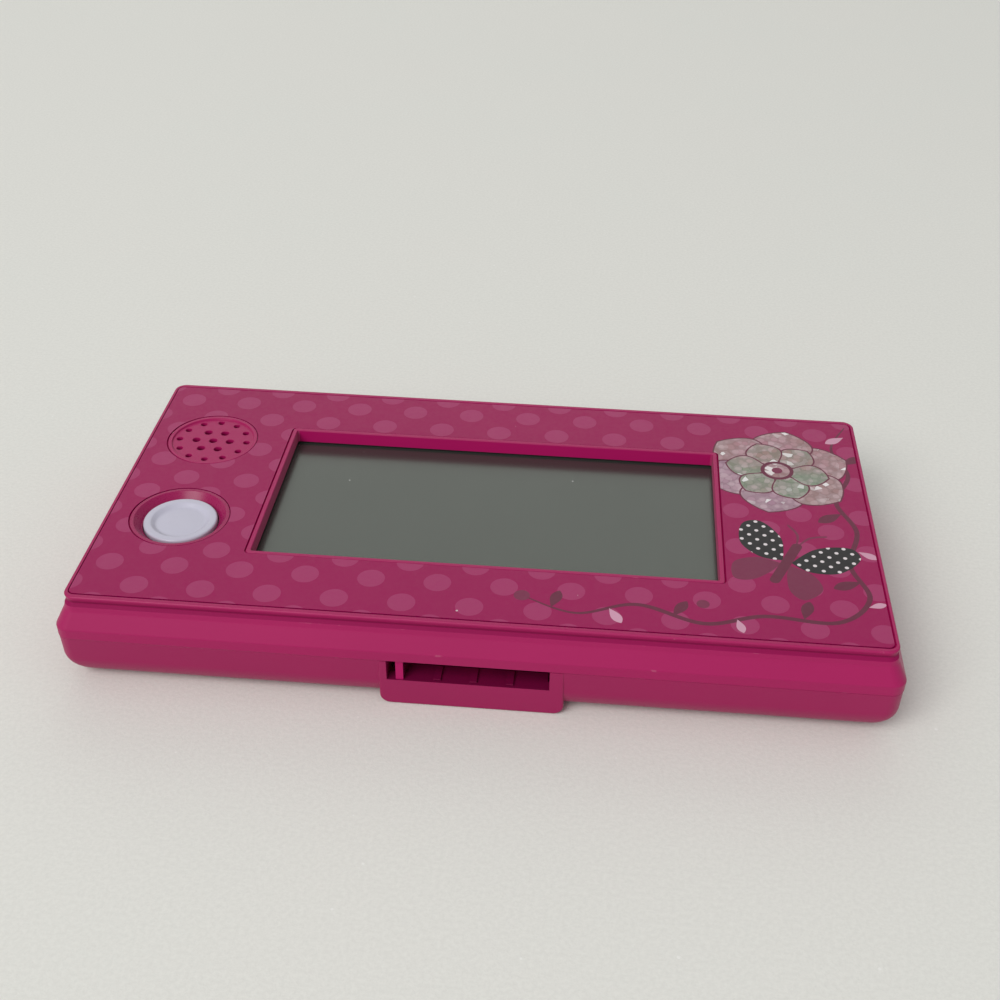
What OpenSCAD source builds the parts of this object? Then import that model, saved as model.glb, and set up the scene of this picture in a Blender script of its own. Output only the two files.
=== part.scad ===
// Clamshell handheld game console: a hinged lid with a display on both faces, over a base
// with control buttons, a circuit board, a battery bay and a push latch at the front.
// Millimetres. X runs left to right, Y front to back and Z up from the underside.

/* [Case] */
// Width of the flat top face
face_w = 150; // [148:1:152]
// Depth of the flat top face, front to back
face_d = 77; // [76:1:78]
// Height of the closed console
case_h = 19.5; // [19.5:0.1:20]
// Height of the line where the lid meets the base
split_z = 11; // [11:0.05:11.1]
// Visible gap between the lid and the base
split_gap = 0.2; // [0.1:0.05:0.3]
// Wall thickness of the mouldings
wall = 1.6; // [1.4:0.1:1.7]
// Plan radius of the case corners
corner_r = 2.6; // [2:0.2:3]

/* [Outline steps] */
// How far the case stands out past the top face at its widest line
crease_grow = 2.2; // [2:0.1:2.4]
// Height of the widest line
crease_z = 13.15; // [13:0.05:13.3]
// Height where the sloping flange meets the upright side of the top face
foot_z = 17.45; // [17.2:0.05:17.6]
// How far the case stands out at the split line
split_grow = 2.0; // [1.8:0.1:2]
// Radius of the rounded lower edge of the base
under_r = 6.8; // [6.4:0.1:7]

/* [Display] */
// Width of the display window in the top face
window_w = 88.7; // [86:0.1:89]
// Depth of the display window, front to back
window_d = 43.4; // [42:0.1:43.6]
// How far the window sits behind the middle of the face
window_y = 0.45; // [0:0.05:0.5]
// Depth of the window's walls below the top face
window_wall = 2.75; // [2.6:0.05:2.8]

/* [Speaker and power button] */
// Distance of the speaker to the left of the middle
speaker_x = 61.45; // [61:0.05:61.6]
// Distance of the power button to the left of the middle
power_x = 60.65; // [60.5:0.05:61.2]
// Speaker's distance behind the middle
speaker_y = 16.65; // [16.4:0.05:17]
// Power button's distance in front of the middle
power_y = 11.8; // [11.6:0.1:12.4]
// Radius of the power button
power_r = 7.2; // [7:0.1:7.4]
// Travel of the power button
power_travel = 0.8; // [0.5:0.1:0.8]

/* [Controls] */
// Travel of the control buttons
key_travel = 0.6; // [0.4:0.1:0.6]
// Radius of a direction button
direction_r = 4; // [3.6:0.2:4]
// Radius of an action button
action_r = 5.2; // [4.8:0.2:5.2]
// Distance of each direction button from the middle of its group
direction_reach = 10; // [9.8:0.1:10.2]

/* [Front latch] */
// Half width of the block under the front edge
block_half_w = 17; // [16.7:0.1:17.1]
// Height of the opening's lower edge
opening_z = 6.3; // [6.2:0.1:6.5]
// Travel of the latch slider
latch_travel = 0.9; // [0.5:0.1:0.9]

/* [Hinge] */
// Distance of the hinge axis behind the middle of the case
hinge_y = 41.2; // [41.2:0.1:41.6]
// Radius of the hinge barrels
barrel_r = 2.6; // [2.4:0.1:2.6]
// Radius of the hinge pins
pin_r = 0.8; // [0.7:0.1:1]

/* [Hidden] */
$fn = 48;

eps = 0.01;
hull_fn = 32;
face_half = [face_w / 2, face_d / 2];
face_corner_r = 2.2;
rear_limit = 36.9;          // back edge of the space inside both halves

// Levels of the lid
lid_z0 = split_z + split_gap / 2;
label_pocket_z = case_h - 0.35;
ceiling_z = case_h - 1.9;
skirt_z = case_h - window_wall;
gasket_t = 0.45;
outer_glass_z = skirt_z - gasket_t;
glass_t = 1.5;
cover_z0 = lid_z0 + 0.05;
cover_z1 = cover_z0 + 1.2;
lid_board_z = cover_z1 + 0.25;
lid_board_t = 0.8;
lid_board_top = lid_board_z + lid_board_t;
ribbon_z = lid_board_top + 0.01;
ribbon_t = 0.2;
rim_lip = 0.71;
label_gap = 0.12;
label_t = 0.3;
window_lip = 0.85;

// Levels of the base
base_top = split_z - split_gap / 2;
deck_z1 = 9.6;
deck_t = 1.4;
dish_depth = 0.3;
deck_z0 = deck_z1 - deck_t;
board_z = 3.9;
board_t = 1.0;
board_top = board_z + board_t;
keypad_z = board_top + 0.05;
keypad_t = 0.5;
flange_t = 0.8;
flange_z = deck_z0 - 0.1 - flange_t;
key_top = deck_z1 + key_travel + 0.4;
dome_top = flange_z - 0.1;
power_rim_z = case_h - 1.45 + power_travel;
power_flange_z = 15.2;
power_flange_t = 1.0;
under_grow = 1.45;          // outline of the base where its lower rounding starts
rim_inner_grow = -0.15;     // inside of the base's rim

// Screws: self-tapping, pan head
screw_shank_r = 1.0;
pilot_r = 1.02;
screw_head_r = 1.9;
screw_head_h = 1.3;
head_recess_r = 2.2;
shank_hole_r = 1.2;
boss_r = 2.3;
base_screw_at = [[-66, -29.5], [66, -29.5], [-27, -29.5], [27, -29.5], [-66, 29.5], [66, 29.5]];
lid_screw_at = [[-69.5, -32.5], [69.5, -32.5], [-9, -32.5], [-69.5, 32.5], [69.5, 32.5], [0, 32.5]];
board_screw_at = [[-57, -21.5], [57, -21.5], [-57, 9], [57, 9]];
base_seat_z = 2.6;
base_column_z = 4.5;
lid_seat_z = cover_z1 + 0.55;
lid_cup_z = lid_seat_z + 0.9;
bumper_at = [62, -35.5];
bumper_stem_r = 1;

// Controls on the deck
direction_c = [-47, -1];
action_at = [[43, -7], [56, 3]];
menu_at = [[8, -16], [-8, -16]];
menu_half_l = 5;
menu_r = 2.2;
key_clear = 0.2;
key_flange = 1.0;

// Circuit boards and rubber keypads, seen from above
main_board_low = [-61, -25.5];
main_board_high = [61, 13];
lid_board_low = [-72.3, -28];
lid_board_high = [-49.6, 5.5];
direction_pad_reach = direction_reach + 3.8;
screw_notch_r = 2.4;

// Display glasses, seen from above
outer_glass_half = [46.5, 24];
inner_glass_half = [41, 23];
inner_glass_z = cover_z1 + 0.1;
lens_half = [37.9, 20.9];
lens_t = 0.85;
view_half = [36, 19];
frame_rail = 1.4;

// Speaker grille and power button's well
speaker_ring_r = 9.35;
speaker_dish_r = 8.6;
speaker_dish_depth = 0.5;
speaker_rim_r = 9;
speaker_cup_z = 15.6;
speaker_top_z = 16.8;
well_ring_r = 9.65;
well_top_r = 8.95;
well_cone_z = case_h - 1.5;
collar_z = 16.5;

// Battery bay for three button cells lying side by side
cell_r = 5.8;
cell_t = 5.4;
cell_pitch = 12.2;
cell_z = 2.0;
bay_y = 22;
bay_half = [18.6, 6.4];
bay_wall = 1.2;
bay_roof_z = 7.6;
door_half_d = 7.8;
door_x = [-20, 28.5];
door_t = 1.4;
door_screw_x = 24.2;
door_sill = 1.5;
door_gap = 0.15;
door_cup_r = 2.9;
door_cup_z = 2.8;

// Front block and latch
block_face_y = -(face_half.y + split_grow);
block_foot_y = block_face_y + 0.9;
block_back_y = -31;
block_foot_r = 2.0;
block_mid_x = -0.2;
slot_x = [-15.7, -14.05];
opening_x = [-12.65, 14.1];
front_wall_inner_y = -38;
latch_floor_z = 4.0;
latch_floor_t = 1.2;
latch_back_y = -27.5;
latch_mid_x = (opening_x[0] + opening_x[1]) / 2;
slider_half_w = (opening_x[1] - opening_x[0]) / 2 - 0.4;
grip_y = -37.7;
grip_back_y = -35.4;
grip_top = opening_z - 0.05;
slider_z = latch_floor_z + 0.15;
tongue_y = -32.5;
tongue_half_w = 4.7;
spring_z = 6.4;
hook_y = -35.0;
hook_half_w = 3;
hook_z = 6.4;
notch_back_y = -33.2;
latch_nose = latch_travel - 0.1;
latch_wall = 1.2;
grip_rib_x = [-7.2, -0.6, 6.1];
grip_rib_half = 0.65;
grip_rib_y = [-39.7, -36.1];
grip_rib_top = opening_z + 0.45;

// Hinge
axis_z = split_z;
barrel_clear = 0.3;
hinge_mid_x = 45;
knuckle_x = [4.7, 12];      // half lengths of the lid knuckle and of a whole hinge
knuckle_gap = 0.3;
pin_half_l = knuckle_x[1] - 1;
pin_play = 0.05;
cable_r = 0.6;
cable_bore_r = 1.3;
cable_channel_half = 0.85;  // half of the channel's width, square to the cable
cable_barrel_x = 14;
cable_slot_x = 9.8;
contact_t = 0.15;
contact_z = cell_z + cell_t + 0.01;

// ---------- shared shapes ----------

// Rectangle with true round corners
module rounded_rect(half_x, half_y, r) {
  square([2 * (half_x - r), 2 * half_y], center = true);
  square([2 * half_x, 2 * (half_y - r)], center = true);
  for (sx = [-1, 1], sy = [-1, 1])
    translate([sx * (half_x - r), sy * (half_y - r)]) circle(r);
}

module slab(half_x, half_y, r, z0, z1)
  translate([0, 0, z0]) linear_extrude(z1 - z0) rounded_rect(half_x, half_y, r);

// Thin slice of the case outline, grown or shrunk from the top face
module slice(grow, z, r)
  slab(face_half.x + grow, face_half.y + grow, r, z, z + eps, $fn = hull_fn);

// Box from its lowest to its highest corner
module box(low, high)
  translate(low) cube(high - low);

// Tube along X
module rod_x(x0, x1, y, z, r)
  translate([x0, y, z]) rotate([0, 90, 0]) cylinder(h = x1 - x0, r = r);

// Rods through both hinge stations, along the hinge axis
module station_rods(half_l, r)
  for (s = [-1, 1])
    rod_x(s * hinge_mid_x - half_l, s * hinge_mid_x + half_l, hinge_y, axis_z, r);

// Pill-shaped outline, long along X
module pill(half_l, r) {
  square([2 * (half_l - r), 2 * r], center = true);
  for (s = [-1, 1]) translate([s * (half_l - r), 0]) circle(r);
}

// Catmull-Rom point between p[i] and p[i + 1]
function knot(p, i) = p[max(0, min(len(p) - 1, i))];
function between(p, i, t) =
  0.5 * (2 * knot(p, i) + (knot(p, i + 1) - knot(p, i - 1)) * t
    + (2 * knot(p, i - 1) - 5 * knot(p, i) + 4 * knot(p, i + 1) - knot(p, i + 2)) * t * t
    + (3 * knot(p, i) - knot(p, i - 1) - 3 * knot(p, i + 1) + knot(p, i + 2)) * t * t * t);
function smooth_route(p, n) =
  concat([for (i = [0:len(p) - 2], k = [0:n - 1]) between(p, i, k / n)], [p[len(p) - 1]]);
function unit(v) = v / norm(v);
function heading(q, i) = unit(q[min(len(q) - 1, i + 1)] - q[max(0, i - 1)]);

// Round wire swept along a route; the rings stay square to the route
module swept(q, r, sides) {
  rings = len(q);
  points = [for (i = [0:rings - 1])
    let (t = heading(q, i), u = unit(cross(t, abs(t.z) < 0.9 ? [0, 0, 1] : [1, 0, 0])), w = cross(t, u))
    for (k = [0:sides - 1]) q[i] + r * (cos(360 * k / sides) * u + sin(360 * k / sides) * w)];
  skin = [for (i = [0:rings - 2], k = [0:sides - 1])
    let (a = i * sides + k, b = i * sides + (k + 1) % sides)
    [a, b, b + sides, a + sides]];
  first_cap = [[for (k = [sides - 1:-1:0]) k]];
  last_cap = [[for (k = [0:sides - 1]) (rings - 1) * sides + k]];
  polyhedron(points, concat(skin, first_cap, last_cap), convexity = 4);
}

// Self-tapping screw with its head's lower face at z = 0 and its shank upwards
module screw(length) {
  translate([0, 0, -screw_head_h]) difference() {
    cylinder(h = screw_head_h, r = screw_head_r);
    for (a = [0, 90]) rotate(a) box([-1.1, -0.2, -1], [1.1, 0.2, 0.7]);
  }
  translate([0, 0, -eps]) cylinder(h = length - 0.6 + eps, r = screw_shank_r);
  translate([0, 0, length - 0.6]) cylinder(h = 0.6, r1 = screw_shank_r, r2 = 0.4);
}

// ---------- base ----------

module base_outer() hull() {
  slice(split_grow, base_top - eps, corner_r);
  for (a = [0:15:90])
    slice(under_grow - under_r * (1 - cos(a)), under_r * (1 - sin(a)), corner_r + 2 * (1 - cos(a)));
}

module base_cavity() intersection() {
  hull() {
    slice(rim_inner_grow, base_top + 1, corner_r - 1);
    for (a = [0:15:90])
      slice(rim_inner_grow - (under_r - wall) * (1 - cos(a)), under_r - (under_r - wall) * sin(a),
        corner_r - 1 + 2 * (1 - cos(a)));
  }
  box([-100, -100, 0], [100, rear_limit, 30]);
}

// Upright block under the front edge, which carries the case down to the table
module front_block() translate([block_mid_x, 0, 0]) intersection() {
  rotate([90, 0, 90]) translate([0, 0, -block_half_w]) linear_extrude(2 * block_half_w)
    polygon([[block_face_y, base_top], [block_foot_y, 0], [block_back_y, 0], [block_back_y, base_top]]);
  rotate([90, 0, 0]) translate([0, 0, -block_back_y]) linear_extrude(12) {
    translate([-block_half_w, block_foot_r]) square([2 * block_half_w, base_top - block_foot_r]);
    translate([block_foot_r - block_half_w, 0]) square([2 * (block_half_w - block_foot_r), base_top]);
    for (s = [-1, 1]) translate([s * (block_half_w - block_foot_r), block_foot_r]) circle(block_foot_r);
  }
}

// Floor, side walls, back wall and spring peg around the latch slider
module latch_bay() {
  x0 = slot_x[0] - 1.5;
  x1 = opening_x[1] + 1.5;
  y0 = front_wall_inner_y - 1;
  y1 = latch_back_y + latch_wall;
  wall_top = deck_z0 - 0.1;
  box([x0, y0, latch_floor_z - latch_floor_t], [x1, y1, latch_floor_z]);
  box([x0, y0, latch_floor_z - eps], [slot_x[0], y1, wall_top]);
  box([opening_x[1], y0, latch_floor_z - eps], [x1, y1, wall_top]);
  box([x0, latch_back_y, latch_floor_z - eps], [x1, y1, wall_top]);
  translate([latch_mid_x, latch_back_y + eps, spring_z]) rotate([90, 0, 0]) cylinder(h = 1.2, r = 0.9);
}

// Slot and wide opening in the block's front wall, and the room for the slider behind it
module front_openings() {
  for (x = [slot_x, opening_x])
    box([x[0], block_face_y - 1, opening_z], [x[1], front_wall_inner_y + 0.6, split_z + 1]);
  box([slot_x[0], front_wall_inner_y, latch_floor_z], [opening_x[1], -35, deck_z0]);
}

module battery_bay_walls() {
  box([door_x[0] - door_sill, bay_y - door_half_d - door_sill, wall - eps],
    [door_x[1] + door_sill, bay_y + door_half_d + door_sill, door_cup_z + 0.1]);
  box([-bay_half.x - bay_wall, bay_y - bay_half.y - bay_wall, wall],
    [bay_half.x + bay_wall, bay_y + bay_half.y + bay_wall, bay_roof_z + 0.5]);
  translate([door_screw_x, bay_y, wall]) cylinder(h = deck_z0 - 0.2 - wall, r = 3.4);
}

module battery_bay_space() {
  box([door_x[0] - door_gap, bay_y - door_half_d - door_gap, -1],
    [door_x[1] + door_gap, bay_y + door_half_d + door_gap, door_t + 0.05]);
  box([-bay_half.x, bay_y - bay_half.y, -1], [bay_half.x, bay_y + bay_half.y, bay_roof_z]);
  translate([door_screw_x, bay_y, -1]) cylinder(h = door_cup_z + 1.1, r = door_cup_r + door_gap);
  translate([door_screw_x, bay_y, door_cup_z]) cylinder(h = 4.9, r = pilot_r);
  // slots that the wire and the contact's tail pass through
  for (x = [-16.4, cell_pitch])
    box([x - 1.1, bay_y - 10, bay_roof_z - 0.6], [x + 1.1, bay_y, bay_roof_z]);
}

// Hinge barrel on a square web to its own half: up is 1 on the lid and -1 on the base
module knuckle(x0, x1, up) {
  rod_x(x0, x1, hinge_y, axis_z, barrel_r);
  box([x0, face_half.y, min(axis_z, axis_z + up * barrel_r)],
    [x1, hinge_y, max(axis_z, axis_z + up * barrel_r)]);
}

// Each hinge station has a lid knuckle between two base knuckles. The cable's barrel lies
// between the stations, half on the base and half on the lid.
module base_knuckles() {
  near = knuckle_x[0] + knuckle_gap;
  far = knuckle_x[1];
  for (s = [-1, 1], e = [-1, 1]) {
    mid = s * hinge_mid_x + e * (near + far) / 2;
    knuckle(mid - (far - near) / 2, mid + (far - near) / 2, -1);
  }
  knuckle(-cable_barrel_x, -knuckle_gap / 2, -1);
}

module lid_knuckles() {
  for (s = [-1, 1]) knuckle(s * hinge_mid_x - knuckle_x[0], s * hinge_mid_x + knuckle_x[0], 1);
  knuckle(knuckle_gap / 2, cable_barrel_x, 1);
}

// Room that one half leaves around the other half's barrels
module lid_knuckle_room() {
  station_rods(knuckle_x[0] + knuckle_gap, barrel_r + barrel_clear);
  rod_x(-knuckle_gap / 2, cable_barrel_x + knuckle_gap, hinge_y, axis_z, barrel_r + barrel_clear);
}

module base_knuckle_room() {
  near = knuckle_x[0];
  far = knuckle_x[1] + knuckle_gap;
  for (s = [-1, 1], e = [-1, 1]) {
    mid = s * hinge_mid_x + e * (near + far) / 2;
    rod_x(mid - (far - near) / 2, mid + (far - near) / 2, hinge_y, axis_z, barrel_r + barrel_clear);
  }
  rod_x(-cable_barrel_x - knuckle_gap, knuckle_gap / 2, hinge_y, axis_z, barrel_r + barrel_clear);
}

// Way for the cable from the bore of its barrel into one half, at 45 degrees
module cable_channel(up) {
  reach = hinge_y - rear_limit + 1;
  side = cable_channel_half * sqrt(2);
  translate([up * cable_slot_x - 1.3, 0, 0]) rotate([90, 0, 90]) linear_extrude(2.6)
    polygon([[hinge_y, axis_z - side], [hinge_y, axis_z + side],
      [hinge_y - reach, axis_z + up * reach + side], [hinge_y - reach, axis_z + up * reach - side]]);
}

module base_shell() color([0.60, 0.10, 0.33]) {
  difference() {
    union() {
      difference() {
        union() {
          base_outer();
          front_block();
        }
        base_cavity();
      }
      intersection() {
        base_outer();
        latch_bay();
      }
      battery_bay_walls();
      for (p = base_screw_at) translate([p.x, p.y, 1]) cylinder(h = base_column_z - 1, r = 3.4);
      for (p = board_screw_at) translate([p.x, p.y, 1]) cylinder(h = board_z - 1, r = boss_r);
      base_knuckles();
    }
    lid_knuckle_room();
    battery_bay_space();
    front_openings();
    for (p = base_screw_at) translate([p.x, p.y, 0]) {
      translate([0, 0, -1]) cylinder(h = base_seat_z + 1, r = head_recess_r);
      cylinder(h = base_column_z + 1, r = shank_hole_r);
    }
    for (p = board_screw_at) translate([p.x, p.y, wall]) cylinder(h = 4, r = pilot_r);
    station_rods(pin_half_l, pin_r);
    rod_x(-cable_slot_x - 1.6, 1, hinge_y, axis_z, cable_bore_r);
    cable_channel(-1);
  }
}

module base_deck() color([0.62, 0.11, 0.35]) difference() {
  union() {
    difference() {
      slab(face_half.x + rim_inner_grow - 0.15, face_half.y + rim_inner_grow - 0.15,
        corner_r - 1.1, deck_z0, deck_z1);
      box([-100, rear_limit - 0.15, 0], [100, 100, 20]);
    }
    for (p = base_screw_at) translate([p.x, p.y, base_column_z + 0.05])
      cylinder(h = deck_z0 - base_column_z, r = boss_r);
  }
  for (p = base_screw_at) translate([p.x, p.y, 0]) cylinder(h = deck_z0 - 0.1, r = pilot_r);
  for (a = [0:90:270]) direction_place(a) cylinder(h = 20, r = direction_r + key_clear);
  for (p = action_at) translate(p) cylinder(h = 20, r = action_r + key_clear);
  for (p = menu_at) translate(p) linear_extrude(20) pill(menu_half_l + key_clear, menu_r + key_clear);
  box([slot_x[0], -50, 0], [opening_x[1], notch_back_y, 20]);
  // shallow dishes around the button groups
  translate([direction_c.x, direction_c.y, deck_z1 - dish_depth])
    cylinder(h = 1, r = direction_reach + direction_r + 2.5);
  for (p = action_at) translate([p.x, p.y, deck_z1 - dish_depth]) cylinder(h = 1, r = action_r + 2);
}

module main_board() color([0.10, 0.38, 0.20]) difference() {
  box([main_board_low.x, main_board_low.y, board_z], [main_board_high.x, main_board_high.y, board_top]);
  for (p = board_screw_at) translate([p.x, p.y, 0]) cylinder(h = 10, r = 1.1);
}

module game_chip() color([0.05, 0.05, 0.06]) translate([0, -2, board_top])
  rotate_extrude() polygon([[0, 0], [6.5, 0], [6.2, 0.5], [5, 1.0], [3, 1.35], [0, 1.5]]);

// Rubber dome that returns a button
module key_dome(r) translate([0, 0, keypad_z + keypad_t - eps])
  cylinder(h = dome_top - keypad_z - keypad_t + eps, r1 = r, r2 = r * 0.62);

// Flat sheet of a keypad, notched around the board's screws
module keypad_sheet(low, high) difference() {
  box([low.x, low.y, keypad_z], [high.x, high.y, keypad_z + keypad_t]);
  for (p = board_screw_at) translate([p.x, p.y, board_top - 1]) cylinder(h = 4, r = screw_notch_r);
}

// Place of a direction button, turned about the middle of its group
module direction_place(angle)
  translate(direction_c) rotate(angle) translate([direction_reach, 0]) children();

module direction_keypad() color([0.75, 0.75, 0.76]) {
  reach = [direction_pad_reach, direction_pad_reach];
  keypad_sheet(direction_c - reach, direction_c + reach);
  for (a = [0:90:270]) direction_place(a) key_dome(3.4);
}

module action_keypad() color([0.75, 0.75, 0.76]) {
  keypad_sheet(action_at[0] - [7, 7], action_at[1] + [4.5, 7]);
  for (p = action_at) translate(p) key_dome(4);
}

module menu_keypad() color([0.75, 0.75, 0.76]) {
  keypad_sheet(menu_at[1] - [6, 4.5], menu_at[0] + [6, 4.5]);
  for (p = menu_at) translate(p) key_dome(2.6);
}

// Round button: flange under the deck, body through its hole and a domed top
module round_button(r) {
  translate([0, 0, flange_z]) cylinder(h = flange_t, r = r + key_flange);
  translate([0, 0, flange_z]) rotate_extrude()
    polygon([[0, 0], [r, 0], [r, key_top - flange_z - 0.5], [r - 0.15, key_top - flange_z - 0.25],
      [r - 0.5, key_top - flange_z], [0, key_top - flange_z]]);
}

module direction_button(angle) color([0.93, 0.93, 0.95]) direction_place(angle) round_button(direction_r);

module up_button() direction_button(90);
module down_button() direction_button(270);
module left_button() direction_button(180);
module right_button() direction_button(0);
module near_action_button() color([0.93, 0.93, 0.95]) translate(action_at[0]) round_button(action_r);
module far_action_button() color([0.93, 0.93, 0.95]) translate(action_at[1]) round_button(action_r);

module menu_button(p) color([0.93, 0.93, 0.95]) translate([p.x, p.y, flange_z]) {
  linear_extrude(flange_t) pill(menu_half_l + key_flange, menu_r + key_flange);
  linear_extrude(key_top - flange_z - 0.3) pill(menu_half_l, menu_r);
  linear_extrude(key_top - flange_z) pill(menu_half_l - 0.3, menu_r - 0.3);
}

module start_button() menu_button(menu_at[0]);
module select_button() menu_button(menu_at[1]);

// ---------- front latch ----------

module latch_slider() color([0.58, 0.09, 0.32]) translate([latch_mid_x, 0, 0]) {
  box([-slider_half_w, grip_y, slider_z], [slider_half_w, grip_back_y, grip_top]);
  box([-slider_half_w, grip_y, slider_z], [slider_half_w, tongue_y + 1, slider_z + 1]);
  // ribs for the fingertip, which reach over the opening's sill
  for (x = grip_rib_x) {
    box([x - grip_rib_half, grip_rib_y[0], opening_z + 0.15], [x + grip_rib_half, grip_rib_y[1], grip_rib_top]);
    box([x - grip_rib_half, grip_y + 0.5, grip_top - eps], [x + grip_rib_half, grip_rib_y[1], grip_rib_top]);
  }
  box([-tongue_half_w, tongue_y, slider_z], [tongue_half_w, tongue_y + 1, deck_z0 - 0.2]);
  rotate([90, 0, 90]) translate([0, 0, -tongue_half_w]) linear_extrude(2 * tongue_half_w)
    polygon([[tongue_y + eps, 7.3], [tongue_y - latch_nose, 7.3], [tongue_y - latch_nose, 7.5],
      [tongue_y + eps, 8.0]]);
  translate([0, tongue_y + 1 - eps, spring_z]) rotate([-90, 0, 0]) cylinder(h = 1.1, r = 0.9);
}

module latch_spring() color([0.75, 0.76, 0.78]) {
  turns = 5;
  wire_r = 0.2;
  coil_r = 1.35;
  y0 = tongue_y + 1.05 + wire_r;
  y1 = latch_back_y - 0.05 - wire_r;
  steps = turns * 12;
  swept([for (i = [0:steps]) [latch_mid_x + coil_r * cos(360 * turns * i / steps),
    y0 + (y1 - y0) * i / steps, spring_z + coil_r * sin(360 * turns * i / steps)]], wire_r, 6);
}

// ---------- batteries ----------

// Button cell with its crimped cap on top
module button_cell() rotate_extrude()
  polygon([[0, 0], [cell_r - 0.4, 0], [cell_r, 0.4], [cell_r, cell_t - 0.8], [cell_r - 0.5, cell_t - 0.3],
    [cell_r - 1, cell_t - 0.3], [cell_r - 1.2, cell_t], [0, cell_t]]);

// The middle cell stands upside down, so that the three are in series
module battery_cells() color([0.80, 0.81, 0.82]) {
  for (s = [-1, 1]) translate([s * cell_pitch, bay_y, cell_z]) button_cell();
  translate([0, bay_y, cell_z + cell_t]) mirror([0, 0, 1]) button_cell();
}

module battery_contacts() color([0.82, 0.82, 0.80]) {
  tail_y = bay_y - bay_half.y - bay_wall - 1.2;
  side_x = -bay_half.x + 0.01;
  box([-cell_pitch - 4, bay_y - 2, contact_z], [3.5, bay_y + 2, contact_z + contact_t]);
  box([cell_pitch - 3.5, bay_y - 2, contact_z], [cell_pitch + 3.5, bay_y + 2, contact_z + contact_t]);
  box([cell_pitch - 0.9, tail_y, contact_z], [cell_pitch + 0.9, bay_y, contact_z + contact_t]);
  // spring against the side of the first cell
  box([side_x, bay_y - 2.5, 3], [side_x + contact_t, bay_y + 2.5, 6.5]);
  box([side_x, bay_y - bay_half.y + 0.2, 6.3], [side_x + contact_t, bay_y - 2.4, 6.5]);
}

module battery_wires() {
  color([0.75, 0.10, 0.10])
    swept(smooth_route([[cell_pitch, 12.9, 7.5], [cell_pitch - 1, 11.5, 7.2], [cell_pitch - 2, 9.5, 6.2],
      [cell_pitch - 2, 8.4, board_top + 0.55]], 4), 0.45, 8);
  color([0.08, 0.08, 0.09])
    swept(smooth_route([[-16.4, 15.0, 7.3], [-16.4, 13.4, 7.3], [-16.4, 11, 6.6],
      [-15, 9, board_top + 0.55]], 4), 0.25, 8);
}

module battery_door() color([0.60, 0.10, 0.33]) difference() {
  union() {
    box([door_x[0], bay_y - door_half_d, 0], [door_x[1], bay_y + door_half_d, door_t]);
    translate([door_screw_x, bay_y, 0]) cylinder(h = door_cup_z, r = door_cup_r);
  }
  translate([door_screw_x, bay_y, -1]) cylinder(h = 2.8, r = head_recess_r - 0.1);
  translate([door_screw_x, bay_y, 0]) cylinder(h = 5, r = shank_hole_r);
  // finger grooves
  for (i = [0:3]) box([-13 + 2 * i, bay_y - 5, -1], [-12 + 2 * i, bay_y + 5, 0.35]);
}

module door_contacts() color([0.82, 0.82, 0.80]) {
  box([-3, bay_y - 2.5, door_t], [cell_pitch + 3, bay_y + 2.5, door_t + 0.2]);
  for (x = [0, cell_pitch])
    translate([x, bay_y, door_t + 0.2 - eps]) cylinder(h = 0.38 + eps, r1 = 2, r2 = 1.2);
}

module door_screw() color([0.72, 0.73, 0.75]) translate([door_screw_x, bay_y, 1.8]) screw(5.2);
module board_screws() color([0.72, 0.73, 0.75])
  for (p = board_screw_at) translate([p.x, p.y, board_top]) mirror([0, 0, 1]) screw(3);
module base_screws() color([0.72, 0.73, 0.75])
  for (p = base_screw_at) translate([p.x, p.y, base_seat_z]) screw(5.2);

// ---------- hinge ----------

module hinge_pins() color([0.72, 0.73, 0.75]) station_rods(pin_half_l, pin_r);

// Start of the cable in one half: along its barrel's bore, then down the channel
function cable_start(up) = [[up * 0.3, hinge_y, axis_z], [up * 5, hinge_y, axis_z],
  [up * (cable_slot_x - 1.3), hinge_y - 0.2, axis_z + up * 0.2],
  [up * cable_slot_x, hinge_y - 1.3, axis_z + up * 1.3],
  [up * cable_slot_x, hinge_y - 3, axis_z + up * 3]];

module hinge_cable_base() color([0.08, 0.08, 0.09])
  swept(smooth_route(concat(cable_start(-1), [[-cable_slot_x, 36.2, 6.4], [-12.5, 34.4, 6.2],
    [-22, 34, 6.2], [-25.5, 31, 6.1], [-26, 24, 6], [-26, 14, 6.0], [-26, 9, board_top + 0.75]]), 4),
    cable_r, 8);

// ---------- lid ----------

module lid_outer() {
  hull() {
    slice(split_grow, lid_z0, corner_r);
    slice(crease_grow, crease_z, corner_r + 0.1);
    slice(0.15, foot_z - eps, face_corner_r);
  }
  slab(face_half.x, face_half.y, face_corner_r, foot_z - 1, case_h);
}

module lid_cavity() intersection() {
  hull() {
    slice(0.45, lid_z0 - 1, corner_r - 1);
    slice(0.45, crease_z, corner_r - 1);
    slice(-1.62, foot_z, face_corner_r - 1);
    slice(-1.62, ceiling_z - eps, face_corner_r - 1);
  }
  box([-100, -100, 0], [100, rear_limit + 0.1, 30]);
}

module window_prism(grow, z0, z1) translate([0, window_y, 0])
  slab(window_w / 2 + grow, window_d / 2 + grow, 0.35 + 0.4 * max(0, grow), z0, z1);

// Face that the printed label covers, less its gap all round
module label_area(gap, z0, z1) difference() {
  slab(face_half.x - rim_lip - gap, face_half.y - rim_lip - gap, 1.2, z0, z1);
  window_prism(window_lip + gap, z0 - 1, z1 + 1);
  translate([-speaker_x, speaker_y, z0 - 1]) cylinder(h = z1 - z0 + 2, r = speaker_ring_r + gap);
  translate([-power_x, -power_y, z0 - 1]) cylinder(h = z1 - z0 + 2, r = well_ring_r + gap);
}

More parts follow.
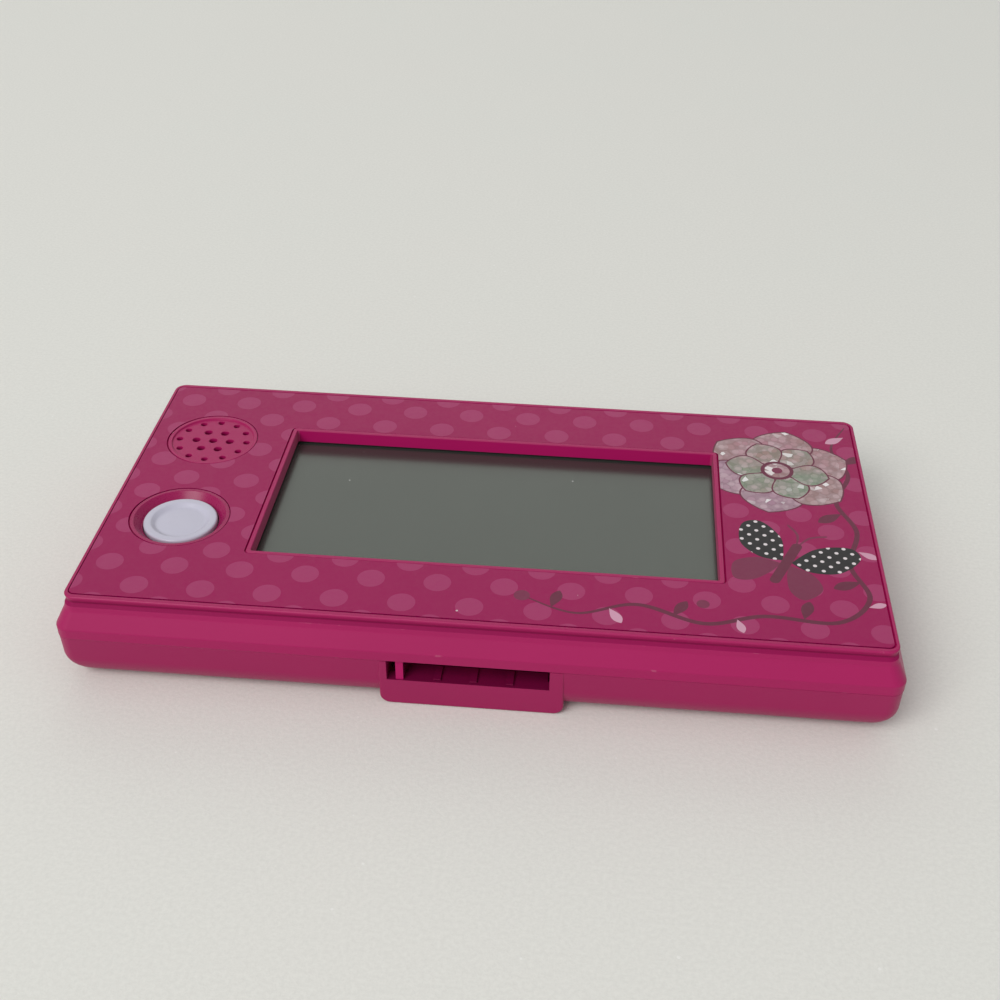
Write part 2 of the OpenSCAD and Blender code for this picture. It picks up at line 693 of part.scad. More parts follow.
module speaker_holes() {
  cylinder(h = 5, r = 0.85);
  for (a = [0:60:300]) rotate(a) translate([3.6, 0, 0]) cylinder(h = 5, r = 0.85);
  for (a = [0:30:330]) rotate(a) translate([7.2, 0, 0]) cylinder(h = 5, r = 0.68);
}

module lid_shell() color([0.66, 0.13, 0.38]) difference() {
  union() {
    difference() {
      lid_outer();
      lid_cavity();
    }
    // walls of the display window
    window_prism(1.4, skirt_z, ceiling_z + eps);
    // collar around the power button and cup around the speaker
    translate([-power_x, -power_y, collar_z]) cylinder(h = ceiling_z - collar_z + eps, r = 9.2);
    translate([-speaker_x, speaker_y, speaker_cup_z]) cylinder(h = ceiling_z - speaker_cup_z + eps, r = 10.4);
    for (p = lid_screw_at) translate([p.x, p.y, lid_cup_z + 0.05])
      cylinder(h = ceiling_z - lid_cup_z, r = boss_r);
    lid_knuckles();
  }
  label_area(0, label_pocket_z, case_h + 1);
  window_prism(0, skirt_z - 1, case_h + 1);
  // power button's well: a cone, then a bore
  translate([-power_x, -power_y, well_cone_z])
    cylinder(h = case_h - well_cone_z + eps, r1 = power_r + 0.4, r2 = well_top_r);
  translate([-power_x, -power_y, 10]) cylinder(h = 9, r = power_r + 0.2);
  // speaker's dished grille
  translate([-speaker_x, speaker_y, case_h - speaker_dish_depth]) cylinder(h = 1, r = speaker_dish_r);
  translate([-speaker_x, speaker_y, 15]) speaker_holes();
  translate([-speaker_x, speaker_y, 10]) cylinder(h = ceiling_z - 10, r = speaker_rim_r + 0.3);
  for (p = lid_screw_at) translate([p.x, p.y, lid_cup_z]) cylinder(h = 3.6, r = pilot_r);
  base_knuckle_room();
  station_rods(knuckle_x[0] + 1, pin_r + pin_play);
  rod_x(-1, cable_slot_x + 1.6, hinge_y, axis_z, cable_bore_r);
  cable_channel(1);
}

module face_label() color([0.62, 0.24, 0.40])
  label_area(label_gap, label_pocket_z, label_pocket_z + label_t);

module screen_gasket() color([0.05, 0.05, 0.05]) difference() {
  window_prism(2.1, outer_glass_z, skirt_z);
  window_prism(0.5, outer_glass_z - 1, skirt_z + 1);
}

module glass_plate(half_x, half_y, z0, t) translate([0, window_y, 0])
  box([-half_x, -half_y, z0], [half_x, half_y, z0 + t]);

module outer_display() color([0.38, 0.40, 0.38])
  glass_plate(outer_glass_half.x, outer_glass_half.y, outer_glass_z - glass_t, glass_t);

module inner_display() color([0.38, 0.40, 0.38])
  glass_plate(inner_glass_half.x, inner_glass_half.y, inner_glass_z, glass_t);

// Frame that holds the two display glasses back to back
module display_frame() color([0.85, 0.85, 0.84]) difference() {
  outer_seat_z = outer_glass_z - glass_t - 0.02;
  glass_plate(outer_glass_half.x + frame_rail, outer_glass_half.y + frame_rail,
    inner_glass_z, outer_glass_z - 0.1 - inner_glass_z);
  glass_plate(outer_glass_half.x + 0.1, outer_glass_half.y + 0.1, outer_seat_z, 5);
  glass_plate(inner_glass_half.x + 0.1, inner_glass_half.y + 0.1, inner_glass_z - 1, glass_t + 1.02);
  // ribbon slots in the left rail
  box([-60, window_y - 16, outer_seat_z], [-40, window_y - 1, 20]);
  box([-60, window_y + 1, 10], [-40, window_y + 16, inner_glass_z + 0.7]);
}

module inner_lens() color([0.85, 0.88, 0.90, 0.4])
  glass_plate(lens_half.x, lens_half.y, cover_z0 + 0.05, lens_t);

// Flat ribbon from a glass's left edge down to the lid board, drawn as its side profile
module ribbon(route, y0, y1) rotate([90, 0, 0]) translate([0, 0, -y1]) linear_extrude(y1 - y0)
  polygon(concat(route, [for (i = [len(route) - 1:-1:0]) route[i] + [0, ribbon_t]]));

module outer_ribbon() color([0.75, 0.50, 0.15]) {
  pad_z = outer_glass_z - glass_t + 0.3;
  ribbon([[-52.2, ribbon_z], [-50.5, ribbon_z], [-49.2, pad_z], [-46.6, pad_z]],
    window_y - 15, window_y - 2);
}

module inner_ribbon() color([0.75, 0.50, 0.15]) {
  pad_z = inner_glass_z + 0.2;
  ribbon([[-52.2, ribbon_z], [-49.4, ribbon_z], [-48.7, pad_z], [-41.1, pad_z]],
    window_y + 2, window_y + 4.8);
}

module lid_board() color([0.10, 0.38, 0.20])
  box([lid_board_low.x, lid_board_low.y, lid_board_z], [lid_board_high.x, lid_board_high.y, lid_board_top]);

// White button with a raised rim, a dished top and a flat disc in the middle
module power_button() color([0.93, 0.93, 0.95]) translate([-power_x, -power_y, 0])
  rotate_extrude($fn = 96) polygon([
    [0, power_flange_z],
    [power_r + 0.8, power_flange_z],
    [power_r + 0.8, power_flange_z + power_flange_t],
    [power_r, power_flange_z + power_flange_t],
    [power_r, power_rim_z - 0.35],
    [power_r - 0.12, power_rim_z - 0.1],
    [power_r - 0.4, power_rim_z],
    [power_r - 1.3, power_rim_z - 0.05],
    [4.8, power_rim_z - 0.75],
    [4.2, power_rim_z - 0.85],
    [4.1, power_rim_z - 0.7],
    [0, power_rim_z - 0.65]]);

module power_dome() color([0.75, 0.75, 0.76]) translate([-power_x, -power_y, lid_board_top]) {
  cylinder(h = 0.4, r = 6);
  translate([0, 0, 0.4 - eps])
    cylinder(h = power_flange_z - 0.1 - lid_board_top - 0.4, r1 = 4.2, r2 = 2.6);
}

// Speaker with its magnet below, a basket and a cone
module speaker() color([0.20, 0.20, 0.22]) translate([-speaker_x, speaker_y, 0])
  rotate_extrude($fn = 96) polygon([
    [0, 13.9], [5, 13.9], [5, 15.4], [8.2, 16.2],
    [speaker_rim_r, 16.2], [speaker_rim_r, speaker_top_z],
    [8, speaker_top_z], [4, 16.1], [2.6, 16.5], [0, 16.7]]);

module speaker_gasket() color([0.05, 0.05, 0.05])
  translate([-speaker_x, speaker_y, speaker_top_z]) difference() {
    cylinder(h = ceiling_z - speaker_top_z, r = speaker_rim_r);
    translate([0, 0, -1]) cylinder(h = 3, r = speaker_rim_r - 1);
  }

// Wires from the speaker's two terminals to the lid board
module speaker_wires() {
  color([0.75, 0.10, 0.10])
    swept(smooth_route([[-63.25, 11.35, 14.6], [-63.25, 9.35, 14.3], [-62.5, 7, 14.4],
      [-62.5, 4.4, lid_board_top + 0.5]], 4), 0.4, 8);
  color([0.08, 0.08, 0.09])
    swept(smooth_route([[-60.25, 11.35, 14.6], [-60.25, 9.35, 14.3], [-60.5, 7, 14.4],
      [-60.5, 4.4, lid_board_top + 0.5]], 4), 0.4, 8);
}

module hinge_cable_lid() color([0.08, 0.08, 0.09])
  swept(smooth_route(concat(cable_start(1), [[cable_slot_x, 36, 14.6], [7, 29.6, 14.8], [0, 28.4, 14.8],
    [-20, 28.4, 14.8], [-46, 28.4, 14.8], [-50, 26, 14.8], [-50.2, 18, 14.8], [-50.4, 9, 14.8],
    [-52, 6.8, 14.5], [-54.5, 4.2, lid_board_top + 0.65]]), 4), cable_r, 8);

module lid_inner_cover() color([0.62, 0.11, 0.35]) difference() {
  union() {
    difference() {
      slab(face_half.x + 0.3, face_half.y + 0.3, corner_r - 1.1, cover_z0, cover_z1);
      box([-100, rear_limit - 0.1, 0], [100, 100, 30]);
    }
    for (p = lid_screw_at) translate([p.x, p.y, cover_z0]) cylinder(h = lid_cup_z - cover_z0, r = 3.1);
    // posts under the lid board's corners
    for (x = [lid_board_low.x + 1.9, lid_board_high.x - 1.9],
        y = [lid_board_low.y + 2, lid_board_high.y - 2])
      translate([x, y, cover_z1 - eps]) cylinder(h = lid_board_z - cover_z1 + eps, r = 1.5);
    // catch hook for the front latch
    translate([latch_mid_x, 0, 0]) {
      box([-hook_half_w, hook_y, hook_z], [hook_half_w, hook_y + 1, cover_z0 + eps]);
      rotate([90, 0, 90]) translate([0, 0, -hook_half_w]) linear_extrude(2 * hook_half_w)
        polygon([[hook_y + 1 - eps, hook_z], [hook_y + 1.3, hook_z], [hook_y + 1.6, hook_z + 0.3],
          [hook_y + 1.6, hook_z + 0.7], [hook_y + 1 - eps, hook_z + 0.7]]);
    }
  }
  // view through the cover, with a seat for the lens around it
  glass_plate(view_half.x, view_half.y, 0, 30);
  glass_plate(lens_half.x + 0.1, lens_half.y + 0.1, 0, cover_z0 + lens_t + 0.1);
  for (p = lid_screw_at) translate([p.x, p.y, 0]) {
    translate([0, 0, cover_z0 - 1]) cylinder(h = lid_seat_z - cover_z0 + 1, r = head_recess_r);
    cylinder(h = 20, r = shank_hole_r);
  }
  for (s = [-1, 1]) translate([s * bumper_at.x, bumper_at.y, 0]) cylinder(h = 20, r = bumper_stem_r);
}

module lid_screws() color([0.72, 0.73, 0.75])
  for (p = lid_screw_at) translate([p.x, p.y, lid_seat_z]) screw(3.9);

// Soft studs that the closed lid rests on
module lid_bumpers() color([0.15, 0.15, 0.16]) for (s = [-1, 1])
  translate([s * bumper_at.x, bumper_at.y, deck_z1 + 0.05]) {
    cylinder(h = cover_z0 - deck_z1 - 0.05, r = 1.8);
    cylinder(h = cover_z0 - deck_z1 - 0.05 + 1.2, r = bumper_stem_r);
  }

base_shell();
base_deck();
main_board();
game_chip();
direction_keypad();
action_keypad();
menu_keypad();
up_button();
down_button();
left_button();
right_button();
near_action_button();
far_action_button();
start_button();
select_button();
latch_slider();
latch_spring();
battery_cells();
battery_contacts();
battery_wires();
battery_door();
door_contacts();
door_screw();
board_screws();
base_screws();
hinge_pins();
hinge_cable_base();
lid_shell();
face_label();
screen_gasket();
outer_display();
display_frame();
inner_display();
inner_lens();
outer_ribbon();
inner_ribbon();
lid_board();
power_button();
power_dome();
speaker();
speaker_gasket();
speaker_wires();
hinge_cable_lid();
lid_inner_cover();
lid_screws();
lid_bumpers();
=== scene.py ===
"""Folding handheld game console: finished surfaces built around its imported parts."""
import math

import bmesh
import bpy
from mathutils import Matrix, Vector
from mathutils.geometry import delaunay_2d_cdt


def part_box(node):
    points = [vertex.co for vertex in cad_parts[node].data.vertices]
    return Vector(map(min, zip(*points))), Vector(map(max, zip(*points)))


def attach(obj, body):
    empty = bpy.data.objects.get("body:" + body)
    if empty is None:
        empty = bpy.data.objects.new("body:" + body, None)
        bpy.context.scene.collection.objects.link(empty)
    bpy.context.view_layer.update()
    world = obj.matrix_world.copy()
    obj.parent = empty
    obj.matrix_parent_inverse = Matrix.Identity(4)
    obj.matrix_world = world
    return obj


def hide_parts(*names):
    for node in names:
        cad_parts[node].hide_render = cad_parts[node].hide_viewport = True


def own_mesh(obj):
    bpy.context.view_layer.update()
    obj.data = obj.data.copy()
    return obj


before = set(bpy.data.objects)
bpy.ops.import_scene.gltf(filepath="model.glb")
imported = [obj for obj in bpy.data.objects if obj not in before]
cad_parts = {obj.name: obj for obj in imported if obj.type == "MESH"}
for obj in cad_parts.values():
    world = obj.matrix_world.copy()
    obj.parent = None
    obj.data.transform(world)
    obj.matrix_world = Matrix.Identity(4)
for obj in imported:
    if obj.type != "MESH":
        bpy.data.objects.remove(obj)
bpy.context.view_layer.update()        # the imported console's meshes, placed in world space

bl_info = {
    "name": "Folding Game Console",
    "version": (1, 0, 0),
    "blender": (4, 5, 0),
    "location": "View3D > Sidebar > Console",
    "description": "Builds the casing, label, display, keys and finishes of a pink folding console",
    "category": "Add Mesh",
}

MM = 0.001
SMOOTH_ANGLE = math.radians(32)
FLAT_ANGLE = math.radians(0.5)      # faces that meet at less than this become one
SHARP_ANGLE = math.radians(35)      # edges sharper than this get rounded
FINE = 1e-4                         # millimetres within which a new mesh's vertices are one
CLOSE = 2e-3                        # and those of a mesh about to be rounded
RUB_WIDTH = 0.2                     # widest face, in millimetres, that counts as a rounded edge
WEIGHT = 80                         # weight of large faces in the shading normals


# ---------- sizes and colours that a user would change ----------

def length(name, text, millimetres):
    """A length property, given in millimetres and kept in metres."""
    return bpy.props.FloatProperty(name=name, description=text, default=millimetres * MM,
                                   unit="LENGTH", precision=5)


def colour(name, text, rgb):
    """A colour property in linear light."""
    return bpy.props.FloatVectorProperty(name=name, description=text, default=rgb, subtype="COLOR",
                                         size=3, min=0.0, max=1.0)


def fraction(name, text, value):
    """A property from 0 to 1."""
    return bpy.props.FloatProperty(name=name, description=text, default=value, min=0.0, max=1.0,
                                   subtype="FACTOR")


class ConsoleSizes(bpy.types.PropertyGroup):
    """Lengths that set the console's form"""
    face_width: length("Face width", "Width of the flat top face", 150)
    face_depth: length("Face depth", "Depth of the flat top face", 77)
    top_z: length("Top", "Height of the closed console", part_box("lid_shell")[1].z / MM)
    corner: length("Corner radius", "Plan radius of the top face's corners", 2.2)
    foot_z: length("Foot", "Height where the sloping flange meets the upright side", 17.45)
    crease_z: length("Crease", "Height of the widest line", 13.15)
    crease_grow: length("Crease overhang", "How far the widest line stands out past the face", 2.2)
    split_z: length("Split", "Height of the line where the lid meets the base", 11)
    split_gap: length("Split gap", "Gap between the lid and the base", 0.12)
    split_grow: length("Split overhang", "How far the split line stands out past the face", 2.0)
    under_radius: length("Underside radius", "Radius of the base's rounded lower edge", 6.8)
    window_width: length("Window width", "Width of the display window", 88.7)
    window_depth: length("Window depth", "Depth of the display window", 43.4)
    window_y: length("Window offset", "How far the window sits behind the middle", 0.45)
    speaker_x: length("Speaker distance", "How far the speaker sits left of the middle", 61.45)
    speaker_y: length("Speaker offset", "How far the speaker sits behind the middle", 16.65)
    button_x: length("Button distance", "How far the power button sits left of the middle", 60.65)
    button_y: length("Button offset", "How far the power button sits in front of the middle", 11.8)
    button_r: length("Button radius", "Radius of the power button", 7.2)
    hinge_y: length("Hinge offset", "Distance of the hinge axis behind the middle", 41.2)
    barrel_r: length("Barrel radius", "Radius of the hinge barrels", 2.6)


class ConsoleFinish(bpy.types.PropertyGroup):
    """Colours and the strength of wear"""
    shell: colour("Shell", "Moulded plastic of the casing", (0.355, 0.004, 0.094))
    deck: colour("Deck", "Moulded plastic of the inner faces", (0.39, 0.006, 0.10))
    label: colour("Label", "Printed ground of the label", (0.305, 0.003, 0.083))
    dots: colour("Dots", "Lighter dots on the label", (0.352, 0.032, 0.128))
    button: colour("Button", "Polished white plastic", (0.52, 0.51, 0.61))
    panel: colour("Display", "Reflector of the display", (0.110, 0.119, 0.108))
    floor: colour("Floor", "Table surface", (0.765, 0.767, 0.73))
    wear: fraction("Wear", "Strength of rubbed edges and fine scratches", 0.5)
    dust: fraction("Dust", "Amount of dust specks", 0.5)


def size(name):
    """One of the console's sizes, in millimetres."""
    return getattr(bpy.context.scene.console_sizes, name) / MM


def finish(name):
    """One of the console's colours or finish values."""
    return getattr(bpy.context.scene.console_finish, name)


# ---------- outlines and profiles, in millimetres ----------

def arc_points(centre, radius, start, stop, steps):
    """Points along an arc, both ends included; angles in degrees."""
    angles = [math.radians(start + (stop - start) * i / steps) for i in range(steps + 1)]
    return [(centre[0] + radius * math.cos(a), centre[1] + radius * math.sin(a)) for a in angles]


def rectangle(low, high, corner, steps=8):
    """Points of a rectangle with round corners."""
    corner = max(corner, 0.05)
    places = ((high[0], high[1], 0), (low[0], high[1], 90), (low[0], low[1], 180),
              (high[0], low[1], 270))
    points = []
    for x, y, a in places:
        centre = (x - corner if x == high[0] else x + corner,
                  y - corner if y == high[1] else y + corner)
        points += arc_points(centre, corner, a, a + 90, steps)
    return points


def case_outline(grow, back=None, side=0.0):
    """Outline of the case, grown from the top face, cut at back, fuller by side at the ends."""
    x, y = size("face_width") / 2 + grow + side, size("face_depth") / 2 + grow
    corner = size("corner") + (0.23 * grow if grow > 0 else max(grow, -1.2))
    return rectangle((-x, -y), (x, y if back is None else min(y, back)), corner)


def base_outline(grow, back=None, side=0.0):
    """Outline of the base, whose corners open up as they round under."""
    x, y = size("face_width") / 2 + grow + side, size("face_depth") / 2 + grow
    corner = 2.6 + 2 * max(0.0, UNDER_GROW - grow) / size("under_radius")
    return rectangle((-x, -y), (x, y if back is None else min(y, back)), corner)


def pocket_outline(grow):
    """Outline of the label's pocket, nearer to the case's edge at the sides than at the front."""
    x, y = size("face_width") / 2 - RIM_SIDE + grow, size("face_depth") / 2 - RIM_LIP + grow
    return rectangle((-x, -y), (x, y), 1.4 + grow)


def window_outline(grow):
    """Outline of the display window."""
    x, y = size("window_width") / 2 + grow, size("window_depth") / 2 + grow
    middle = size("window_y")
    return rectangle((-x, middle - y), (x, middle + y), 0.35 + 0.4 * max(0.0, grow))


def circle(centre, steps=72):
    """Outline function of a circle: its argument is the radius."""
    return lambda radius: arc_points(centre, radius, 0, 360 - 360 / steps, steps - 1)


def pill(half_length, radius, centre):
    """Outline function of a pill shape, long along X."""
    reach = half_length - radius
    return lambda grow: (arc_points((centre[0] + reach, centre[1]), radius + grow, -90, 90, 16)
                         + arc_points((centre[0] - reach, centre[1]), radius + grow, 90, 270, 16))


def rounded(corners, steps=5):
    """Profile through (across, along, fillet) corners, each rounded by its own fillet radius."""
    points = []
    for i, corner in enumerate(corners):
        here, radius = Vector(corner[:2]), corner[2] if len(corner) > 2 else 0
        if radius == 0 or i in (0, len(corners) - 1):
            points.append(tuple(here))
            continue
        before = (Vector(corners[i - 1][:2]) - here).normalized()
        after = (Vector(corners[i + 1][:2]) - here).normalized()
        half = before.angle(after) / 2
        centre = here + (before + after).normalized() * (radius / math.sin(half))
        reach = radius / math.tan(half)
        first, last = here + before * reach - centre, here + after * reach - centre
        turn = math.atan2(first.x * last.y - first.y * last.x, first.dot(last))
        points += [tuple(centre + Matrix.Rotation(turn * k / steps, 2) @ first)
                   for k in range(steps + 1)]
    return points


def lifted(points, z):
    """Flat points raised to a height."""
    return [(x, y, z) for x, y in points]


def turned(points, angle, centre=(0, 0)):
    """Flat points turned by an angle in degrees and moved to a centre."""
    c, s = math.cos(math.radians(angle)), math.sin(math.radians(angle))
    return [(centre[0] + x * c - y * s, centre[1] + x * s + y * c) for x, y in points]


def packed_box(node):
    """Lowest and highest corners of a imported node, in millimetres."""
    return [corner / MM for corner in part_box(node)]


def new_object(name, data):
    """A new object of the scene."""
    made = bpy.data.objects.new(name, data)
    bpy.context.scene.collection.objects.link(made)
    return made


class Build:
    """A mesh of lofted rings and filled faces, in millimetres until it becomes an object."""

    def __init__(self):
        self.bm = bmesh.new()
        self.inked = 0

    def loft(self, rings):
        """Joins rings of equal length, each a list of points in space, with quads."""
        made = [[self.bm.verts.new(p) for p in ring] for ring in rings]
        for a, b in zip(made, made[1:]):
            for i in range(len(a)):
                j = (i + 1) % len(a)
                self.bm.faces.new((a[i], a[j], b[j], b[i]))
        return self

    def turn(self, outline, profile):
        """Lofts a flat outline through a profile of (grow, height) points."""
        return self.loft([lifted(outline(grow), z) for grow, z in profile])

    def fill(self, z, *loops):
        """Flat face at a height, inside the first loop and outside the others."""
        edges = []
        for loop in loops:
            verts = [self.bm.verts.new(p) for p in lifted(loop, z)]
            edges += [self.bm.edges.new(pair) for pair in zip(verts, verts[1:] + verts[:1])]
        bmesh.ops.triangle_fill(self.bm, use_beauty=True, edges=edges)
        return self

    def cap(self, points):
        """One face through points in space."""
        self.bm.faces.new([self.bm.verts.new(p) for p in points])
        return self

    def fan(self, ring, point):
        """Triangles from a ring to one point."""
        verts = [self.bm.verts.new(p) for p in ring]
        pole = self.bm.verts.new(point)
        for a, b in zip(verts, verts[1:] + verts[:1]):
            self.bm.faces.new((a, b, pole))
        return self

    def ink(self, index):
        """Gives the faces made since the last call one material of the piece."""
        for face in list(self.bm.faces)[self.inked:]:
            face.material_index = index
        self.inked = len(self.bm.faces)

    def to_object(self, name):
        """Closes the mesh, turns it into metres and links it as an object."""
        bmesh.ops.remove_doubles(self.bm, verts=self.bm.verts, dist=FINE)
        bmesh.ops.recalc_face_normals(self.bm, faces=self.bm.faces)
        bmesh.ops.scale(self.bm, vec=(MM, MM, MM), verts=self.bm.verts)
        mesh = bpy.data.meshes.new(name)
        self.bm.to_mesh(mesh)
        self.bm.free()
        return new_object(name, mesh)


def prism(outline, profile):
    """Closed solid: a flat outline lofted through a profile, with flat ends."""
    build = Build().turn(outline, profile)
    for grow, z in (profile[0], profile[-1]):
        build.cap(lifted(outline(grow), z))
    return build


def lathe(centre, profile, steps=96):
    """Closed solid of revolution about an upright axis; the profile runs from axis to axis."""
    ring = circle(centre, steps)
    rings = [lifted(ring(r), z) for r, z in profile[1:-1]]
    build = Build().loft(rings)
    build.fan(rings[0], (*centre, profile[0][1]))
    return build.fan(rings[-1], (*centre, profile[-1][1]))


def block(low, high):
    """Plain box used as a cutter or a rib."""
    (x0, y0, z0), (x1, y1, z1) = low, high
    return prism(lambda grow: [(x0, y0), (x1, y0), (x1, y1), (x0, y1)], [(0, z0), (0, z1)])


def side_prism(x0, x1, points):
    """Closed solid with a side profile of (y, z) points, extruded along X."""
    build = Build().loft([[(x, y, z) for y, z in points] for x in (x0, x1)])
    for x in (x0, x1):
        build.cap([(x, y, z) for y, z in points])
    return build


def hinge_rod(x0, x1, radius):
    """Round bar along the hinge axis."""
    return side_prism(x0, x1, circle((size("hinge_y"), size("split_z")), 48)(radius))


def post(x, y, z0, z1, radius):
    """Upright round bar."""
    return prism(circle((x, y), 40), [(radius, z0), (radius, z1)])


# ---------- mesh finishing ----------

def apply_modifiers(target):
    """Applies every modifier and leaves a plain mesh."""
    bpy.context.view_layer.update()
    graph = bpy.context.evaluated_depsgraph_get()
    made = bpy.data.meshes.new_from_object(target.evaluated_get(graph))
    target.modifiers.clear()
    old, target.data = target.data, made
    bpy.data.meshes.remove(old)
    return target


def combine(target, operation, builds):
    """Unites the target with solids, or cuts them out of it, in one exact boolean."""
    tools = bpy.data.collections.new("tools")
    bpy.context.scene.collection.children.link(tools)
    parts = [b.to_object("tool") for b in builds]
    for part in parts:
        tools.objects.link(part)
    modifier = target.modifiers.new("combine", "BOOLEAN")
    modifier.operation, modifier.solver = operation, "EXACT"
    modifier.operand_type, modifier.collection = "COLLECTION", tools
    apply_modifiers(target)
    for part in parts:
        bpy.data.objects.remove(part)
    bpy.data.collections.remove(tools)
    return target


def union_with(target, other):
    """Unites two objects and removes the second."""
    modifier = target.modifiers.new("combine", "BOOLEAN")
    modifier.operation, modifier.object, modifier.solver = "UNION", other, "EXACT"
    apply_modifiers(target)
    bpy.data.objects.remove(other)


def soften(target, width, low=None, high=None, segments=2):
    """Rounds the sharp edges of a mesh, or those whose middle lies in a box in millimetres."""
    bm = bmesh.new()
    bm.from_mesh(target.data)
    bmesh.ops.remove_doubles(bm, verts=bm.verts, dist=CLOSE * MM)
    bmesh.ops.dissolve_limit(bm, angle_limit=FLAT_ANGLE, verts=bm.verts, edges=bm.edges)
    chosen = []
    for edge in bm.edges:
        if len(edge.link_faces) != 2 or edge.calc_face_angle(0) < SHARP_ANGLE:
            continue
        middle = (edge.verts[0].co + edge.verts[1].co) / 2 / MM
        if low is None or all(low[i] <= middle[i] <= high[i] for i in range(3)):
            chosen.append(edge)
    bmesh.ops.bevel(bm, geom=chosen, offset=width * MM, segments=segments, profile=0.5,
                    affect="EDGES", clamp_overlap=True, miter_outer="ARC")
    bm.to_mesh(target.data)
    bm.free()
    return target


def mark_rubbed(target):
    """Marks the narrow faces that round an outward edge, where the finish rubs off first."""
    bm = bmesh.new()
    bm.from_mesh(target.data)
    values = []
    for face in bm.faces:
        lengths = sorted(e.calc_length() for e in face.edges)
        slim = len(face.verts) == 4 and lengths[1] < RUB_WIDTH * MM
        values.append(float(slim and all(e.is_convex for e in face.edges if len(e.link_faces) == 2
                                         and e.calc_face_angle(0) > 0.02)))
    bm.free()
    rubbed = target.data.attributes.new("rubbed", "FLOAT", "FACE")
    rubbed.data.foreach_set("value", values)


def settle(target, body, slot_name, node, materials=()):
    """Gives a piece its materials, its shading and its body, and hides the node that it stands for.
    """
    mesh = target.data
    for i, name in enumerate(materials or [slot_name]):
        if i == len(mesh.materials):
            mesh.materials.append(None)
        mesh.materials[i] = material(name)
    mark_rubbed(target)
    mesh.shade_smooth()
    mesh.set_sharp_from_angle(angle=SMOOTH_ANGLE)
    weighted = target.modifiers.new("weighted", "WEIGHTED_NORMAL")
    weighted.keep_sharp = True
    weighted.weight = WEIGHT
    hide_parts(node)
    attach(target, body)
    return target


def copy_of(node, name):
    """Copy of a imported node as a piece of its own."""
    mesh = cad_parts[node].data.copy()
    mesh.name = name
    mesh.materials.clear()
    return new_object(name, mesh)


def softened_piece(node, name, width, body, slot_name, materials=()):
    """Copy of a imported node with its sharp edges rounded."""
    settle(soften(copy_of(node, name), width), body, slot_name, node, materials)


def sprung_piece(node, name, body, slot_name, anchor):
    """Copy of a spring or rubber dome as a piece with a mesh of its own; the anchor is not used."""
    made = settle(copy_of(node, name), body, slot_name, node)
    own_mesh(made)


def dress(node, name):
    """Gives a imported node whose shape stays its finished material."""
    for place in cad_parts[node].material_slots:
        place.material = material(name)


# ---------- shader helpers ----------

